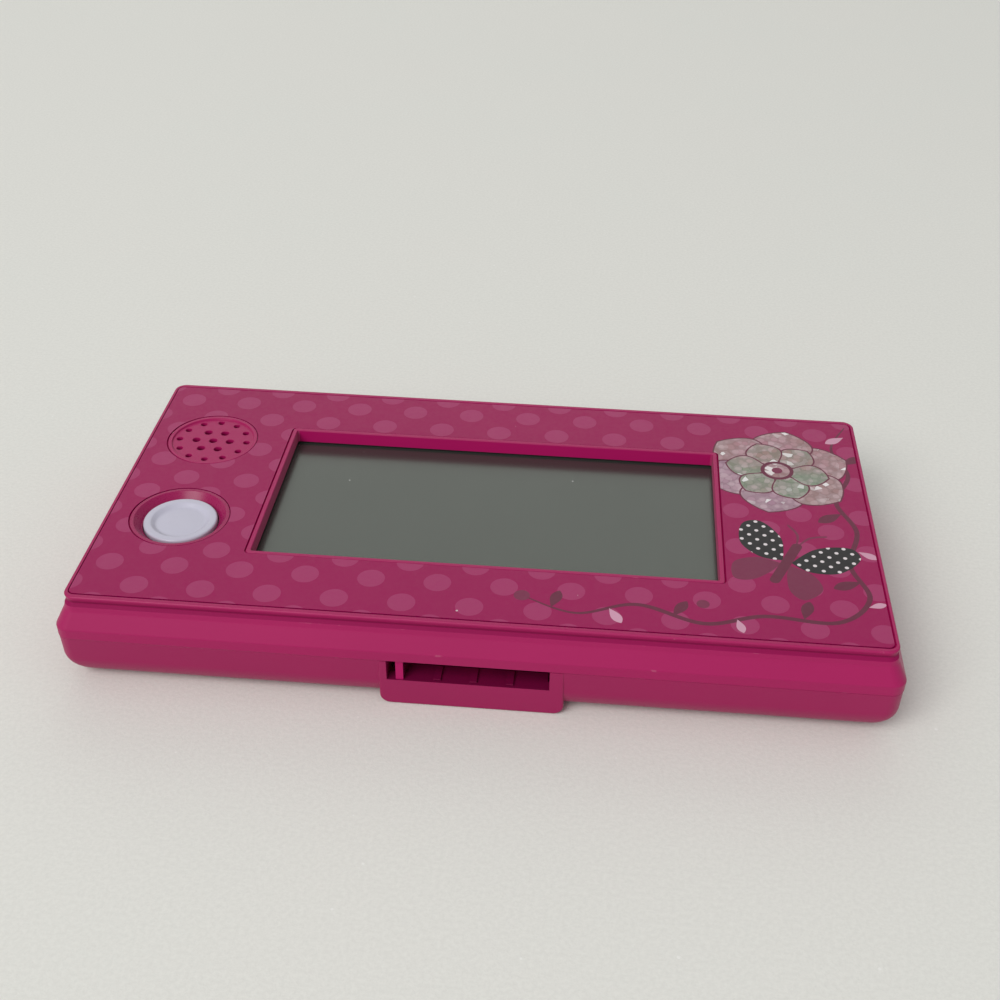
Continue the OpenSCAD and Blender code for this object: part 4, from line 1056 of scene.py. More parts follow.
def build_lid_casing():
    """Lid moulding: flange, label pocket, window walls, grille, button well and hinge parts."""
    top, foot = size("top_z"), size("foot_z")
    pocket, ceiling, skirt = top - LABEL_POCKET, top - CEILING, top - WINDOW_WALL
    speaker_ring, button_ring = circle(speaker_centre(), 96), circle(button_centre(), 96)
    build = Build().loft(lid_wall_rings())
    build.ink(SHELL)
    # painted shade: the groove's faces get a darker, matt copy of the shell
    for face in build.bm.faces:
        if foot + GROOVE[0] < face.calc_center_median().z < foot + GROOVE[1]:
            face.material_index = GROOVE_SHADE
    # the label's pocket floor; its dark material is painted shade in the gap round the label
    build.fill(pocket, pocket_outline(0), window_outline(WINDOW_LIP), speaker_ring(SPEAKER_RING),
               button_ring(WELL_RING))
    build.ink(POCKET_SHADE)
    edge, dusty = top - 0.35, skirt + WALL_FOOT_HEIGHT
    build.turn(window_outline, rounded([(WINDOW_LIP, pocket), (WINDOW_LIP, top, RIM_ROUND),
                                        (0, top, 0.2), (0, edge)]))
    build.ink(SHELL)
    # painted light: the window's walls get a lighter copy of the shell
    build.turn(window_outline, [(0, edge), (0, dusty)])
    build.ink(LIT_WALL)
    # painted shade: the walls' foot gets a darker, greyer material
    build.turn(window_outline, [(0, dusty), (0, skirt + WALL_FOOT_HEIGHT / 2), (0, skirt)])
    build.ink(WALL_FOOT_SHADE)
    build.turn(window_outline, [(0, skirt), (WINDOW_SKIRT, skirt), (WINDOW_SKIRT, ceiling)])
    # speaker: raised ring, shallow dish and pierced floor over a cup
    dish = top - SPEAKER_DEPTH
    cup_r, cup_out, cup_z = SPEAKER_CUP
    build.turn(speaker_ring, rounded([(SPEAKER_RING, pocket), (SPEAKER_RING, top, RIM_ROUND),
                                      (SPEAKER_DISH, top, 0.14), (SPEAKER_DISH - 0.12, dish, 0.12),
                                      (SPEAKER_DISH - 0.3, dish)]))
    rims, bores = [], []
    for centre, radius in grille_holes():
        hole, rim = circle(centre, 28), radius + HOLE_ROUND
        build.turn(hole, rounded([(rim, dish), (radius, dish, 0.12), (radius, ceiling)], 3))
        rims.append(hole(rim))
        bores.append(hole(radius))
    build.fill(dish, speaker_ring(SPEAKER_DISH - 0.3), *rims)
    build.fill(ceiling, speaker_ring(cup_r), *bores)
    build.turn(speaker_ring, [(cup_r, ceiling), (cup_r, cup_z), (cup_out, cup_z),
                              (cup_out, ceiling)])
    # power button's well: a cone, then a bore in a collar
    build.ink(SHELL)
    bore_r, cone_end = size("button_r") + BUTTON_GAP, top - WELL_DEPTH
    collar_r, collar_z = WELL_COLLAR
    build.turn(button_ring, rounded([(WELL_RING, pocket), (WELL_RING, top, RIM_ROUND),
                                     (WELL_TOP, top, 0.2), (bore_r + 0.2, cone_end, 0.12),
                                     (bore_r, cone_end - 0.05, 0.05), (bore_r, collar_z),
                                     (collar_r, collar_z), (collar_r, ceiling)]))
    # painted shade: the well takes a darker copy of the shell
    build.ink(WELL_SHADE)
    build.fill(ceiling, case_outline(LID_INSIDE, REAR_LIMIT + 0.1), window_outline(WINDOW_SKIRT),
               speaker_ring(cup_out), button_ring(collar_r))
    casing = build.to_object("lid_casing")
    # screw columns, hinge knuckles and the room that the base's knuckles need
    solids = [post(x, y, LID_COLUMN_LOW, ceiling + 0.4, COLUMN_R) for x, y in LID_SCREWS]
    solids += knuckle(KNUCKLE_GAP / 2, CABLE_BARREL, 1)
    for s in (-1, 1):
        solids += knuckle(s * HINGE_MIDDLE - KNUCKLE[0], s * HINGE_MIDDLE + KNUCKLE[0], 1)
    combine(casing, "UNION", solids)
    room = size("barrel_r") + BARREL_ROOM
    cuts = [hinge_rod(a, b, room) for a, b in stations(KNUCKLE[0], KNUCKLE[1] + KNUCKLE_GAP)]
    cuts.append(hinge_rod(-CABLE_BARREL - KNUCKLE_GAP, KNUCKLE_GAP / 2, room))
    cuts += [post(x, y, *LID_PILOT, SCREW_PILOT) for x, y in LID_SCREWS]
    combine(casing, "DIFFERENCE", cuts)
    ways = station_rods(KNUCKLE[0] + 1, PIN_R + PIN_CLEAR)
    ways += [hinge_rod(-1, CABLE_SLOT + 1.6, CABLE_BORE), cable_channel(1)]
    combine(casing, "DIFFERENCE", ways)
    soften_hinge(casing)
    settle(casing, "lid", "shell_pink", "lid_shell", LID_MATERIALS)


# ---------- label ----------

LABEL_GAP = 0.30            # gap at the label's right, front and openings
LABEL_FILM = 0.3            # thickness of the film
LABEL_EDGE = 0.05           # how far the film's upper edge is rounded
VINE = [(73.2, 36.0), (69.5, 27.0), (72.0, 17.0), (68.5, 7.0), (71.5, -3.0), (69.0, -14.0),
        (71.5, -24.0), (65.0, -31.5), (52.0, -31.0), (41.0, -34.2), (29.0, -30.0),
        (18.0, -33.6), (8.0, -29.5)]
LEAVES = [(71.2, 21.0, 40, 5.5), (72.6, 32.0, 215, 5.0), (69.2, 3.0, 215, 6.0),
          (71.0, -9.5, 330, 4.2), (70.6, -19.0, 205, 6.0), (71.0, -26.5, 20, 3.6),
          (59.0, -31.2, 75, 5.5), (47.0, -32.4, 285, 3.8), (35.5, -32.6, 60, 5.2),
          (24.0, -31.6, 300, 4.6), (13.5, -32.4, 75, 5.2)]
BUDS = [((8.0, -29.5), 1.5), ((41.0, -28.6), 1.2)]
BLOSSOM = (57.5, 17.5)
PETAL_RINGS = (("petal_pink", 20, 15.5, 12.5), ("petal_mint", 50, 10.5, 7.4))
BUTTERFLY, BUTTERFLY_TILT = (57.0, -14.5), -24
UPPER_WING = [(0.8, 0.5), (3.5, 7.0), (9.0, 10.5), (12.0, 8.0), (10.0, 2.0), (5.0, -0.5)]
LOWER_WING = [(0.8, -0.5), (5.5, -1.0), (8.8, -4.5), (7.0, -9.0), (3.8, -8.0), (1.6, -4.0)]
BODY_HALF = 6.0             # half distance between the middles of the body's round ends
FEELER = [(0, 5.0), (1.4, 9.5), (3.9, 11.6), (3.6, 12.0), (0.9, 9.7), (-0.1, 5.2)]


def petal(centre, angle, reach, width, start=0.0):
    """Outline of a petal or leaf that points away from a centre; angle in degrees."""
    points, steps = [], 18
    for side in (1, -1):
        for i in range(steps + 1):
            t = i / steps if side > 0 else 1 - i / steps
            along = start + (reach - start) * t
            across = side * width / 2 * math.sin(math.pi * t ** 1.35) ** 0.8
            points.append((along, across))
    return tidy_loop(turned(points, angle, centre))


def tidy_loop(points, least=0.02):
    """Loop without repeated points, turned counter-clockwise."""
    kept = []
    for p in points:
        if all(math.dist(p, q) > least for q in kept[-1:] + kept[:1]):
            kept.append(p)
    area = sum(a[0] * b[1] - b[0] * a[1] for a, b in zip(kept, kept[1:] + kept[:1]))
    return kept if area > 0 else kept[::-1]


def smooth_line(knots, per_span=10):
    """Points of a smooth curve through knots."""
    ends = [knots[0]] + list(knots) + [knots[-1]]
    points = []
    for i in range(1, len(ends) - 2):
        a, b, c, d = (Vector(p) for p in ends[i - 1:i + 3])
        for k in range(per_span):
            t = k / per_span
            points.append(0.5 * (2 * b + (c - a) * t + (2 * a - 5 * b + 4 * c - d) * t ** 2
                                 + (3 * b - a - 3 * c + d) * t ** 3))
    return points + [Vector(knots[-1])]


def stroke(knots, width):
    """Outline of a line of even width that tapers at its ends."""
    line = smooth_line(knots)
    left, right = [], []
    for i, p in enumerate(line):
        along = (line[min(i + 1, len(line) - 1)] - line[max(i - 1, 0)]).normalized()
        half = width / 2 * min(1.0, 0.25 + 4 * min(i, len(line) - 1 - i) / len(line))
        side = Vector((-along.y, along.x)) * half
        left.append(tuple(p + side))
        right.append(tuple(p - side))
    return tidy_loop(left + right[::-1])


def disc(centre, radius):
    """Outline of a round spot."""
    return circle(centre, 40)(radius)


def wing(side, knots):
    """One wing or feeler of the butterfly, mirrored and turned about its body."""
    loop = smooth_line(knots + [knots[0]], 8)[:-1]
    return tidy_loop(turned([(side * p.x, p.y) for p in loop], BUTTERFLY_TILT, BUTTERFLY))


def label_motifs():
    """Printed motifs as (material, outline), lowest first: a vine, a blossom and a butterfly."""
    motifs = [("vine_plum", stroke(VINE, 1.0))]
    for i, (x, y, angle, reach) in enumerate(LEAVES):
        ink = "sprig_pale" if i % 2 else "vine_plum"
        motifs.append((ink, petal((x, y), angle, reach, reach * 0.42)))
    motifs += [("wing_plum", disc(*bud)) for bud in BUDS]
    for ink, first, reach, width in PETAL_RINGS:
        for i in range(6):
            angle = first + 60 * i
            motifs.append(("vine_plum", petal(BLOSSOM, angle, reach + 0.35, width + 0.7, 1.0)))
            tinted = "petal_lilac" if ink == "petal_pink" and i in (3, 4) else ink
            motifs.append((tinted, petal(BLOSSOM, angle, reach, width, 1.4)))
    motifs += [(ink, disc(BLOSSOM, radius)) for ink, radius in
               (("vine_plum", 3.4), ("petal_pink", 2.6), ("wing_plum", 1.1))]
    for side in (-1, 1):
        motifs += [("wing_black", wing(side, UPPER_WING)), ("wing_plum", wing(side, LOWER_WING)),
                   ("wing_plum", wing(side, FEELER))]
    body = arc_points((0, BODY_HALF), 1.0, 0, 180, 10)
    body += arc_points((0, -BODY_HALF), 1.0, 180, 360, 10)
    tilt = Matrix.Rotation(math.radians(BUTTERFLY_TILT), 2)
    motifs.append(("vine_plum", [tuple(Vector(BUTTERFLY) + tilt @ Vector(p)) for p in body]))
    return motifs


def label_loops(grow):
    """Outer edge of the label and its three openings; grow moves every edge into the film."""
    x, y = size("face_width") / 2 - RIM_SIDE, size("face_depth") / 2 - RIM_LIP
    half_x, half_y = size("window_width") / 2 + WINDOW_LIP, size("window_depth") / 2 + WINDOW_LIP
    middle = size("window_y")
    window = rectangle((-half_x - LABEL_GAP - grow, middle - half_y - 0.04 - grow),
                       (half_x + LABEL_GAP + grow, middle + half_y + 0.06 + grow), 0.9 + grow)
    rings = [circle((at[0] - 0.10, at[1] + 0.11), 96)(radius + 0.18 + grow)
             for at, radius in ((speaker_centre(), SPEAKER_RING), (button_centre(), WELL_RING))]
    edge = rectangle((-x + 0.12 + grow, -y + LABEL_GAP + grow),
                     (x - LABEL_GAP - grow, y - 0.15 - grow), 1.2 - grow)
    return [edge, window, *rings]


def build_label():
    """Printed film in the lid's shallow pocket, its motifs cut into its upper face."""
    low = size("top_z") - LABEL_POCKET
    high, edge = low + LABEL_FILM, LABEL_EDGE
    build = Build()
    steps = [(0, low), (0, high - edge), (edge * 0.3, high - edge * 0.3), (edge, high)]
    for i in range(len(label_loops(0))):
        build.loft([lifted(label_loops(grow)[i], z) for grow, z in steps])
    # the film's cut edges take a dark material: painted shade in the gap round the label
    build.ink(1)
    build.fill(low, *label_loops(0))
    motifs = label_motifs()
    loops = label_loops(edge) + [outline for _, outline in motifs]
    points, faces = [], []
    for loop in map(tidy_loop, loops):
        faces.append(list(range(len(points), len(points) + len(loop))))
        points += [Vector(p) for p in loop]
    verts, _, made, _, _, sources = delaunay_2d_cdt(points, [], faces, 1, 1e-5)
    inks = ["label_print", "label_edge"]
    for name, _ in motifs:
        if name not in inks:
            inks.append(name)
    placed = [build.bm.verts.new((v.x, v.y, high)) for v in verts]
    for corners, inside in zip(made, sources):
        if 0 not in inside or any(hole in inside for hole in (1, 2, 3)):
            continue
        face = build.bm.faces.new([placed[i] for i in corners])
        motif = max(inside) - 4         # the edge and three openings come before the motifs
        face.material_index = inks.index(motifs[motif][0]) if motif >= 0 else 0
    label = build.to_object("label_film")
    settle(label, "lid", "label_print", "face_label", inks)


# ---------- display ----------

def build_panel(node, slot_name, corner, edge):
    """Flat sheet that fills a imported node's box, with soft edges."""
    low, high = packed_box(node)
    profile = [(-0.3, low.z), (0, low.z, edge), (0, high.z, edge), (-0.3, high.z)]
    sheet = prism(lambda grow: rectangle((low.x - grow, low.y - grow),
                                         (high.x + grow, high.y + grow), corner),
                  rounded(profile, 3))
    settle(sheet.to_object(node + "_panel"), "lid", slot_name, node)


def build_display():
    """Outer display under the window, the lens and the display seen on the inner face."""
    build_panel("outer_display", "display_grey", 0.4, 0.15)
    build_panel("inner_display", "display_grey", 0.4, 0.15)
    build_panel("inner_lens", "clear_lens", 0.5, 0.12)
    softened_piece("display_frame", "display_holder", 0.15, "lid", "frame_white")
    dress("screen_gasket", "foam_black")


# ---------- power button ----------


def settle_cap(build, node, cuts=()):
    """White cap that stands for a button and rides on the button's own body."""
    cap = build.to_object(node + "_cap")
    if cuts:
        combine(cap, "DIFFERENCE", cuts)
    settle(cap, node.replace("_button", "_key"), "button_white", node)


def flange_profile(r, flange, low, thick):
    """Start of a cap's profile, from the axis out round its flange and in to its side."""
    rim, top = r + flange, low + thick
    return [(0, low), (rim, low, 0.1), (rim, top, 0.1), (r, top, 0.05)]


def build_power_button():
    """Round white button: broad soft rim, dished top and a low disc in the middle."""
    low, high = packed_box("power_button")
    r, rim = size("button_r"), high.z
    profile = flange_profile(r, 0.8, low.z, 1.0)
    profile += [(r, rim, 0.45), (r - 1.45, rim - 0.03, 0.7), (4.8, rim - 0.80, 0.9),
                (3.9, rim - 0.74, 1.5), (2.2, rim - 0.64, 1.5), (0, rim - 0.66)]
    settle_cap(lathe(button_centre(), rounded(profile, 6)), "power_button")
    sprung_piece("power_dome", "power_dome_rubber", "lid", "keypad_rubber",
                 (*button_centre(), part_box("power_dome")[0].z / MM))


# ---------- casing of the base ----------

BASE_WALL = 1.6
UNDER_GROW = 1.45           # how far the base stands out where it starts to round under
BLOCK_HALF = 17.0           # half width of the block under the front edge
BLOCK_X = -0.2              # its middle
BLOCK_FACE = 0.07           # how far it stands out past the base's side
BLOCK_LEAN = 0.97           # how far its foot stands back
BLOCK_BACK = -31.3
BLOCK_CORNER = 2.0
HIDDEN = 0.5                # how far the block's back reaches into the tray's wall
OPENING_Z = 6.3             # floor of the opening and the slot
SLOT = (-15.7, -14.05)      # left and right ends
OPENING = (-12.65, 14.1)
POST_DEPTH = 0.55           # how far the post stands behind the block's face
SILL_BACK = -37.75          # back of the sill in front of the latch
HOUSING_FRONT = -38.4       # front of the latch's housing
LATCH_BACK = -27.5          # where the latch's spring pushes
DECK_LOW = 8.1              # underside of the deck
BAY_Y = 22                  # middle of the battery bay
BAY_HALF = (18.6, 6.4)
BAY_WALL = 1.2
BAY_TOP = 7.6
DOOR_X = (-20, 28.5)
DOOR_HALF = 7.8
DOOR_SCREW = 24.2
DOOR_EDGE = 1.5             # width of the ledge round the battery door
DOOR_GAP = 0.15
CUP_R = 3.4                 # outer radius of the posts that hold screw heads
HEAD_R = 2.2                # radius of a screw head's recess
SHANK_R = 1.2               # and of its shank's hole
DOOR_HEAD_R = 3.05          # radius of the room round the door's own cup
CONTACT_X = (-16.4, 12.2)   # where the wires leave the battery bay
BASE_MATERIALS = ("tray_pink", "recess_pink", "wall_pink")
SHADED_TRAY, RECESS_SHADE, LIT_POST = range(3)           # their places in that row


def base_profile(start, radius):
    """Quarter round of the base's lower edge, from the flat underside up, as (grow, height)."""
    lift = size("under_radius") - radius
    steps = 14
    angles = [math.pi / 2 * (1 - i / steps) for i in range(steps + 1)]
    return [(start - radius * (1 - math.cos(a)), lift + radius * (1 - math.sin(a))) for a in angles]


def front_block():
    """Upright block that carries the front edge down to the table, with soft edges."""
    face = size("face_depth") / 2 + size("split_grow") + BLOCK_FACE
    top, half, r = size("split_z") - 0.13, BLOCK_HALF, BLOCK_CORNER
    outline = ([(half, top)] + arc_points((half - r, r), r, 0, -90, 10)
               + arc_points((r - half, r), r, -90, -180, 10) + [(-half, top)])
    front = [(x + BLOCK_X, -face + (1 - z / top) * BLOCK_LEAN, z) for x, z in outline]
    back = [(x, BLOCK_BACK, z) for x, _, z in front]
    return Build().loft([front[::-1], back[::-1]]).cap(front).cap(back)


def base_tray(rim, out):
    """The base's tray as an object, and its inner profile from the rim down."""
    under = size("under_radius")
    outside = base_profile(UNDER_GROW, under)
    outside += rounded([outside[-1], (out, rim, 0.14), (out - 0.3, rim)])[1:]
    inside = base_profile(-0.15, under - BASE_WALL)[::-1]
    rings = []
    for grow, z in outside:
        fuller = 0.1 + (min(0.55, 1.2 * (out - grow)) if z < rim - 0.3 else 0.0)
        fuller += 0.22 * max(0.0, UNDER_GROW - grow)
        rings.append(lifted(base_outline(grow, side=fuller), z))
    underside = rings[0]
    rings += [lifted(base_outline(grow, REAR_LIMIT), z) for grow, z in
              [(0.0, rim), (-0.15, rim - 0.15)] + inside]
    build = Build().loft(rings).cap(underside)
    build.cap(lifted(base_outline(inside[-1][0], REAR_LIMIT), BASE_WALL))
    return build.to_object("base_casing"), inside


def base_ribs():
    """Solids that join the tray: latch housing, battery bay, screw posts and knuckles."""
    x0, x1, back = SLOT[0] - 1.5, OPENING[1] + 1.5, LATCH_BACK + 1.2
    ribs = [block((x0, HOUSING_FRONT, 2.8), (x1, back, 4.0)),  # floor of the latch's housing
            block((x0, HOUSING_FRONT - 0.3, 3.95), (x1, SILL_BACK + 0.1, DECK_LOW - 0.05)),  # sill
            block((x0, HOUSING_FRONT, 3.9), (SLOT[0], back, DECK_LOW)),  # side walls
            block((OPENING[1], HOUSING_FRONT, 3.9), (x1, back, DECK_LOW)),
            block((x0, LATCH_BACK, 3.9), (x1, back, DECK_LOW)),  # back wall
            bay_block(DOOR_X, DOOR_HALF, DOOR_EDGE, DOOR_EDGE, 2.9),  # ledge round the door
            bay_block((-BAY_HALF[0], BAY_HALF[0]), BAY_HALF[1], BAY_WALL, DOOR_EDGE, DECK_LOW),
            post(DOOR_SCREW, BAY_Y, 1.5, 8.0, CUP_R)]
    ribs += [post(x, y, 1, 4.5, CUP_R) for x, y in BASE_SCREWS]
    ribs += [post(x, y, 1, 3.9, COLUMN_R) for x, y in BOARD_SCREWS]
    for a, b in stations(KNUCKLE[0] + KNUCKLE_GAP, KNUCKLE[1]):
        ribs += knuckle(a, b, -1)
    return ribs + knuckle(-CABLE_BARREL, -KNUCKLE_GAP / 2, -1)


def bay_block(ends, half, extra, low, high):
    """Block about the battery bay's middle line, larger by extra on its four sides."""
    return block((ends[0] - extra, BAY_Y - half - extra, low),
                 (ends[1] + extra, BAY_Y + half + extra, high))


def base_cuts(face):
    """Solids taken out of the tray: opening, slot, latch room, battery bay, bores, hinge room."""
    cuts = [block((a, face - 1, OPENING_Z), (b, -37.4, 12)) for a, b in (SLOT, OPENING)]
    cuts += [block((SLOT[1] - 0.1, face - 1, OPENING_Z), (OPENING[0] + 0.1, face + POST_DEPTH, 12)),
             block((SLOT[0], SILL_BACK, 4.0), (OPENING[1], -35, 8.2)),  # way of the latch
             bay_block(DOOR_X, DOOR_HALF, DOOR_GAP, -1, 1.45),  # seat of the door
             bay_block((-BAY_HALF[0], BAY_HALF[0]), BAY_HALF[1], 0, -1, BAY_TOP),  # battery bay
             post(DOOR_SCREW, BAY_Y, -1, 2.9, DOOR_HEAD_R),  # door screw
             post(DOOR_SCREW, BAY_Y, 2.5, 7.7, SCREW_PILOT)]
    cuts += [block((x - 1.1, BAY_Y - 10, 7.0), (x + 1.1, BAY_Y, 7.55)) for x in CONTACT_X]
    for x, y in BASE_SCREWS:
        cuts += [post(x, y, -1, 2.6, HEAD_R), post(x, y, 0, 5.5, SHANK_R)]
    cuts += [post(x, y, 1.6, 5.6, SCREW_PILOT) for x, y in BOARD_SCREWS]
    room = size("barrel_r") + BARREL_ROOM
    cuts += station_rods(KNUCKLE[0] + KNUCKLE_GAP, room)
    return cuts + [hinge_rod(-KNUCKLE_GAP / 2, CABLE_BARREL + KNUCKLE_GAP, room)]


def build_base_casing():
    """Base moulding: rounded tray, front block with the latch opening, battery bay and knuckles."""
    rim, out = size("split_z") - size("split_gap") / 2, size("split_grow")
    face = -(size("face_depth") / 2 + out)
    casing, inside = base_tray(rim, out)
    deeper = [(grow + HIDDEN, z - HIDDEN) for grow, z in inside[::-1]] + [(HIDDEN - 0.15, rim + 1)]
    cavity = prism(lambda grow: base_outline(grow, REAR_LIMIT), deeper)
    block_piece = front_block().to_object("block")
    soften(block_piece, 0.45, (-20, -45, -1), (20, -38, 8), 3)  # front edges
    combine(block_piece, "DIFFERENCE", [cavity])
    union_with(casing, block_piece)
    combine(casing, "UNION", base_ribs())
    combine(casing, "DIFFERENCE", base_cuts(face))
    ways = station_rods(KNUCKLE[1] - 1, PIN_R)
    ways += [hinge_rod(-CABLE_SLOT - 1.6, 1, CABLE_BORE), cable_channel(-1)]
    combine(casing, "DIFFERENCE", ways)
    # edges of the opening and slot, of the knuckles and of the battery door's seat
    soften(casing, 0.22, (SLOT[0] - 0.3, face - 1, OPENING_Z - 0.4),
           (OPENING[1] + 0.3, -38.9, 11.2), 3)
    soften_hinge(casing)
    soften(casing, 0.15, (-30, 10, -0.1), (30, 34, 0.1))
    # painted shade: faces inside the latch opening get a much darker copy of the shell
    for part in casing.data.polygons:
        x, y, z = part.center / MM
        recessed = (OPENING[0] - 0.1 < x < OPENING[1] + 0.3 and face + 0.3 < y < -33
                    and z > OPENING_Z - 0.25)
        # the rest take the base's darker colour, painted shade
        part.material_index = RECESS_SHADE if recessed and abs(part.normal.y) < 0.8 else SHADED_TRAY
        # painted highlight: the post beside the opening takes the lighter wall material
        if SLOT[1] - 0.05 < x < OPENING[0] + 0.05 and y < face + 1.2 and OPENING_Z < z < rim - 0.1:
            part.material_index = LIT_POST
    settle(casing, "base", "shell_pink", "base_shell", BASE_MATERIALS)


# ---------- deck, keys, latch and door ----------

KEY_TRAVEL = 0.6
PAD_WEB = 0.5               # thickness of a keypad's web
KEY_FLANGE = 1.0            # how far a key's flange stands out past its side
KEY_FLANGE_T = 0.8          # thickness of that flange
DIRECTION_R = 4
ACTION_R = 5.2
DIRECTIONS = {"right_button": 0, "up_button": 90, "left_button": 180, "down_button": 270}
ARROW = [(1.7, 0.0), (-1.0, 1.6), (-1.0, -1.6)]
ARROW_DEPTH = 0.18


def build_keypads():
    """Rubber keypads under the keys; their domes are low enough that each key can go down."""
    for node in ("direction_keypad", "action_keypad", "menu_keypad"):
        low, high = (corner.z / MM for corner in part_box(node))
        web = low + PAD_WEB + 0.01
        share = (high - KEY_TRAVEL - web) / (high - web)
        pad = copy_of(node, node + "_rubber")
        for point in pad.data.vertices:
            above = point.co.z - web * MM
            if above > 0:
                point.co.z = web * MM + above * share
        settle(pad, "base", "keypad_rubber", node)


def key_place(node):
    """Centre, underside and top of a packed key."""
    low, high = packed_box(node)
    return ((low.x + high.x) / 2, (low.y + high.y) / 2), low.z, high.z


def build_keys():
    """Eight control keys: four with arrow marks, two large dished ones and two pills."""
    build_keypads()
    for node, angle in DIRECTIONS.items():
        centre, low, top = key_place(node)
        profile = flange_profile(DIRECTION_R, KEY_FLANGE, low, KEY_FLANGE_T)
        profile += [(DIRECTION_R, top - 0.1, 0.45), (DIRECTION_R * 0.55, top, 1.2), (0, top - 0.04)]
        arrow = turned(ARROW, angle, centre)
        settle_cap(lathe(centre, rounded(profile), 64), node,
                   [prism(lambda grow: arrow, [(0, top - ARROW_DEPTH), (0, top + 1)])])
    for node in ("near_action_button", "far_action_button"):
        centre, low, top = key_place(node)
        profile = flange_profile(ACTION_R, KEY_FLANGE, low, KEY_FLANGE_T)
        profile += [(ACTION_R, top, 0.5), (4.2, top, 0.5), (3.0, top - 0.3, 0.8), (0, top - 0.36)]
        settle_cap(lathe(centre, rounded(profile), 72), node)
    for node in ("start_button", "select_button"):
        centre, low, top = key_place(node)
        profile = [(0.7, low), *flange_profile(0, KEY_FLANGE, low, KEY_FLANGE_T)[1:], (0, top, 0.4),
                   (-0.7, top)]
        settle_cap(prism(pill(5, 2.2, centre), rounded(profile)), node)


def build_inner_faces():
    """Deck over the base and cover inside the lid, with soft edges."""
    softened_piece("base_deck", "deck_plate", 0.2, "base", "deck_pink")
    softened_piece("lid_inner_cover", "lid_lining", 0.2, "lid", "deck_pink")


def build_latch_and_door():
    """Front latch slider with its ribbed grip, and the battery door."""
    # the grip takes the recess's painted shade
    softened_piece("latch_slider", "latch_grip", 0.06, "latch", "shell_pink", ["recess_pink"])
    # the door takes the base's darker colour, painted shade
    softened_piece("battery_door", "battery_cover", 0.12, "base", "shell_pink", ["tray_pink"])
    low, high = packed_box("latch_spring")
    sprung_piece("latch_spring", "latch_coil", "base", "screw_steel",
                 ((low.x + high.x) / 2, high.y, (low.z + high.z) / 2))


INNER_FINISHES = {
    "circuit_green": ("main_board", "lid_board"),
    "chip_black": ("game_chip",),
    "screw_steel": ("door_screw", "board_screws", "base_screws", "lid_screws", "hinge_pins"),
    "contact_nickel": ("battery_contacts", "door_contacts"),
    "cell_steel": ("battery_cells",),
    "battery_wire": ("battery_wires",),
    "speaker_wire": ("speaker_wires",),
    "wire_black": ("hinge_cable_base", "hinge_cable_lid"),
    "foam_black": ("speaker_gasket",),
    "speaker_dark": ("speaker",),
    "ribbon_amber": ("outer_ribbon", "inner_ribbon"),
    "stud_rubber": ("lid_bumpers",),
}


def dress_inner_parts():
    """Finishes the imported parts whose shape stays."""
    for name, nodes in INNER_FINISHES.items():
        for node in nodes:
            dress(node, name)


# ---------- stage ----------

CAMERA_PLACE = (20.44, -233.33, 181.30)                     # millimetres
CAMERA_YAW, CAMERA_PITCH, CAMERA_ROLL = 4.68, 34.59, 0.846  # degrees
CAMERA_LENS, CAMERA_SENSOR = 51.2, 36   # millimetres
CAMERA_NEAR = 0.01                      # metres
WORLD_LIGHT = (0.46, 0.46, 0.465)       # colour that lights the console
WORLD_SEEN = (0.62, 0.63, 0.61)         # colour behind it and in its reflections


def build_camera():
    """Camera of the scene, from its yaw, pitch and roll."""
    yaw, pitch, roll = (math.radians(a) for a in (CAMERA_YAW, CAMERA_PITCH, CAMERA_ROLL))
    back = Vector((math.sin(yaw) * math.cos(pitch), -math.cos(yaw) * math.cos(pitch),
                   math.sin(pitch)))
    right = (-back).cross(Vector((0, 0, 1))).normalized()
    up = right.cross(-back)
    right, up = (right * math.cos(roll) + up * math.sin(roll),
                 up * math.cos(roll) - right * math.sin(roll))
    data = bpy.data.cameras.new("camera")
    data.lens, data.sensor_width, data.clip_start = CAMERA_LENS, CAMERA_SENSOR, CAMERA_NEAR
    made = new_object("camera", data)
    made.matrix_world = Matrix((right, up, back)).transposed().to_4x4()
    made.location = Vector(CAMERA_PLACE) * MM
    bpy.context.scene.camera = made


def add_lamp(name, place, width, depth, power, tint):
    """Soft rectangular lamp aimed at the console; metres and watts."""
    data = bpy.data.lights.new(name, "AREA")
    data.shape, data.size, data.size_y = "RECTANGLE", width, depth
    data.energy, data.color = power, tint
    made = new_object(name, data)
    made.location = place
    made.rotation_euler = (-Vector(place)).to_track_quat("-Z", "Y").to_euler()


def build_floor():
    """Wide table top that curves up far behind the console."""
    build = Build()
    half, straight, ease, steps, top = 1600, 900, 500, 24, 1500
    run = [(-half, 0.0), (straight, 0.0)]
    run += [(straight + ease * math.sin(a), ease * (1 - math.cos(a)))
            for a in (math.pi / 2 * i / steps for i in range(1, steps + 1))]
    run.append((straight + ease, top))
    rows = [[build.bm.verts.new((x, y, z)) for x in (-half, half)] for y, z in run]
    for a, b in zip(rows, rows[1:]):
        build.bm.faces.new((a[0], a[1], b[1], b[0]))
    table = build.to_object("table")
    table.data.shade_smooth()
    table.data.materials.append(material("table_cloth"))


def build_world():
    """Even pale surroundings."""
    world = bpy.data.worlds.new("surroundings")
    bpy.context.scene.world = world
    world.use_nodes = True
    n = Nodes(world.node_tree)
    background = world.node_tree.nodes["Background"]
    path = n.add("ShaderNodeLightPath").outputs
    seen = n.maths("MAXIMUM", path["Is Camera Ray"],
                   n.maths("MAXIMUM", path["Is Glossy Ray"], path["Is Transmission Ray"]))
    n.tree.links.new(n.mix(seen, WORLD_LIGHT, WORLD_SEEN), background.inputs["Color"])
    background.inputs["Strength"].default_value = 1.0


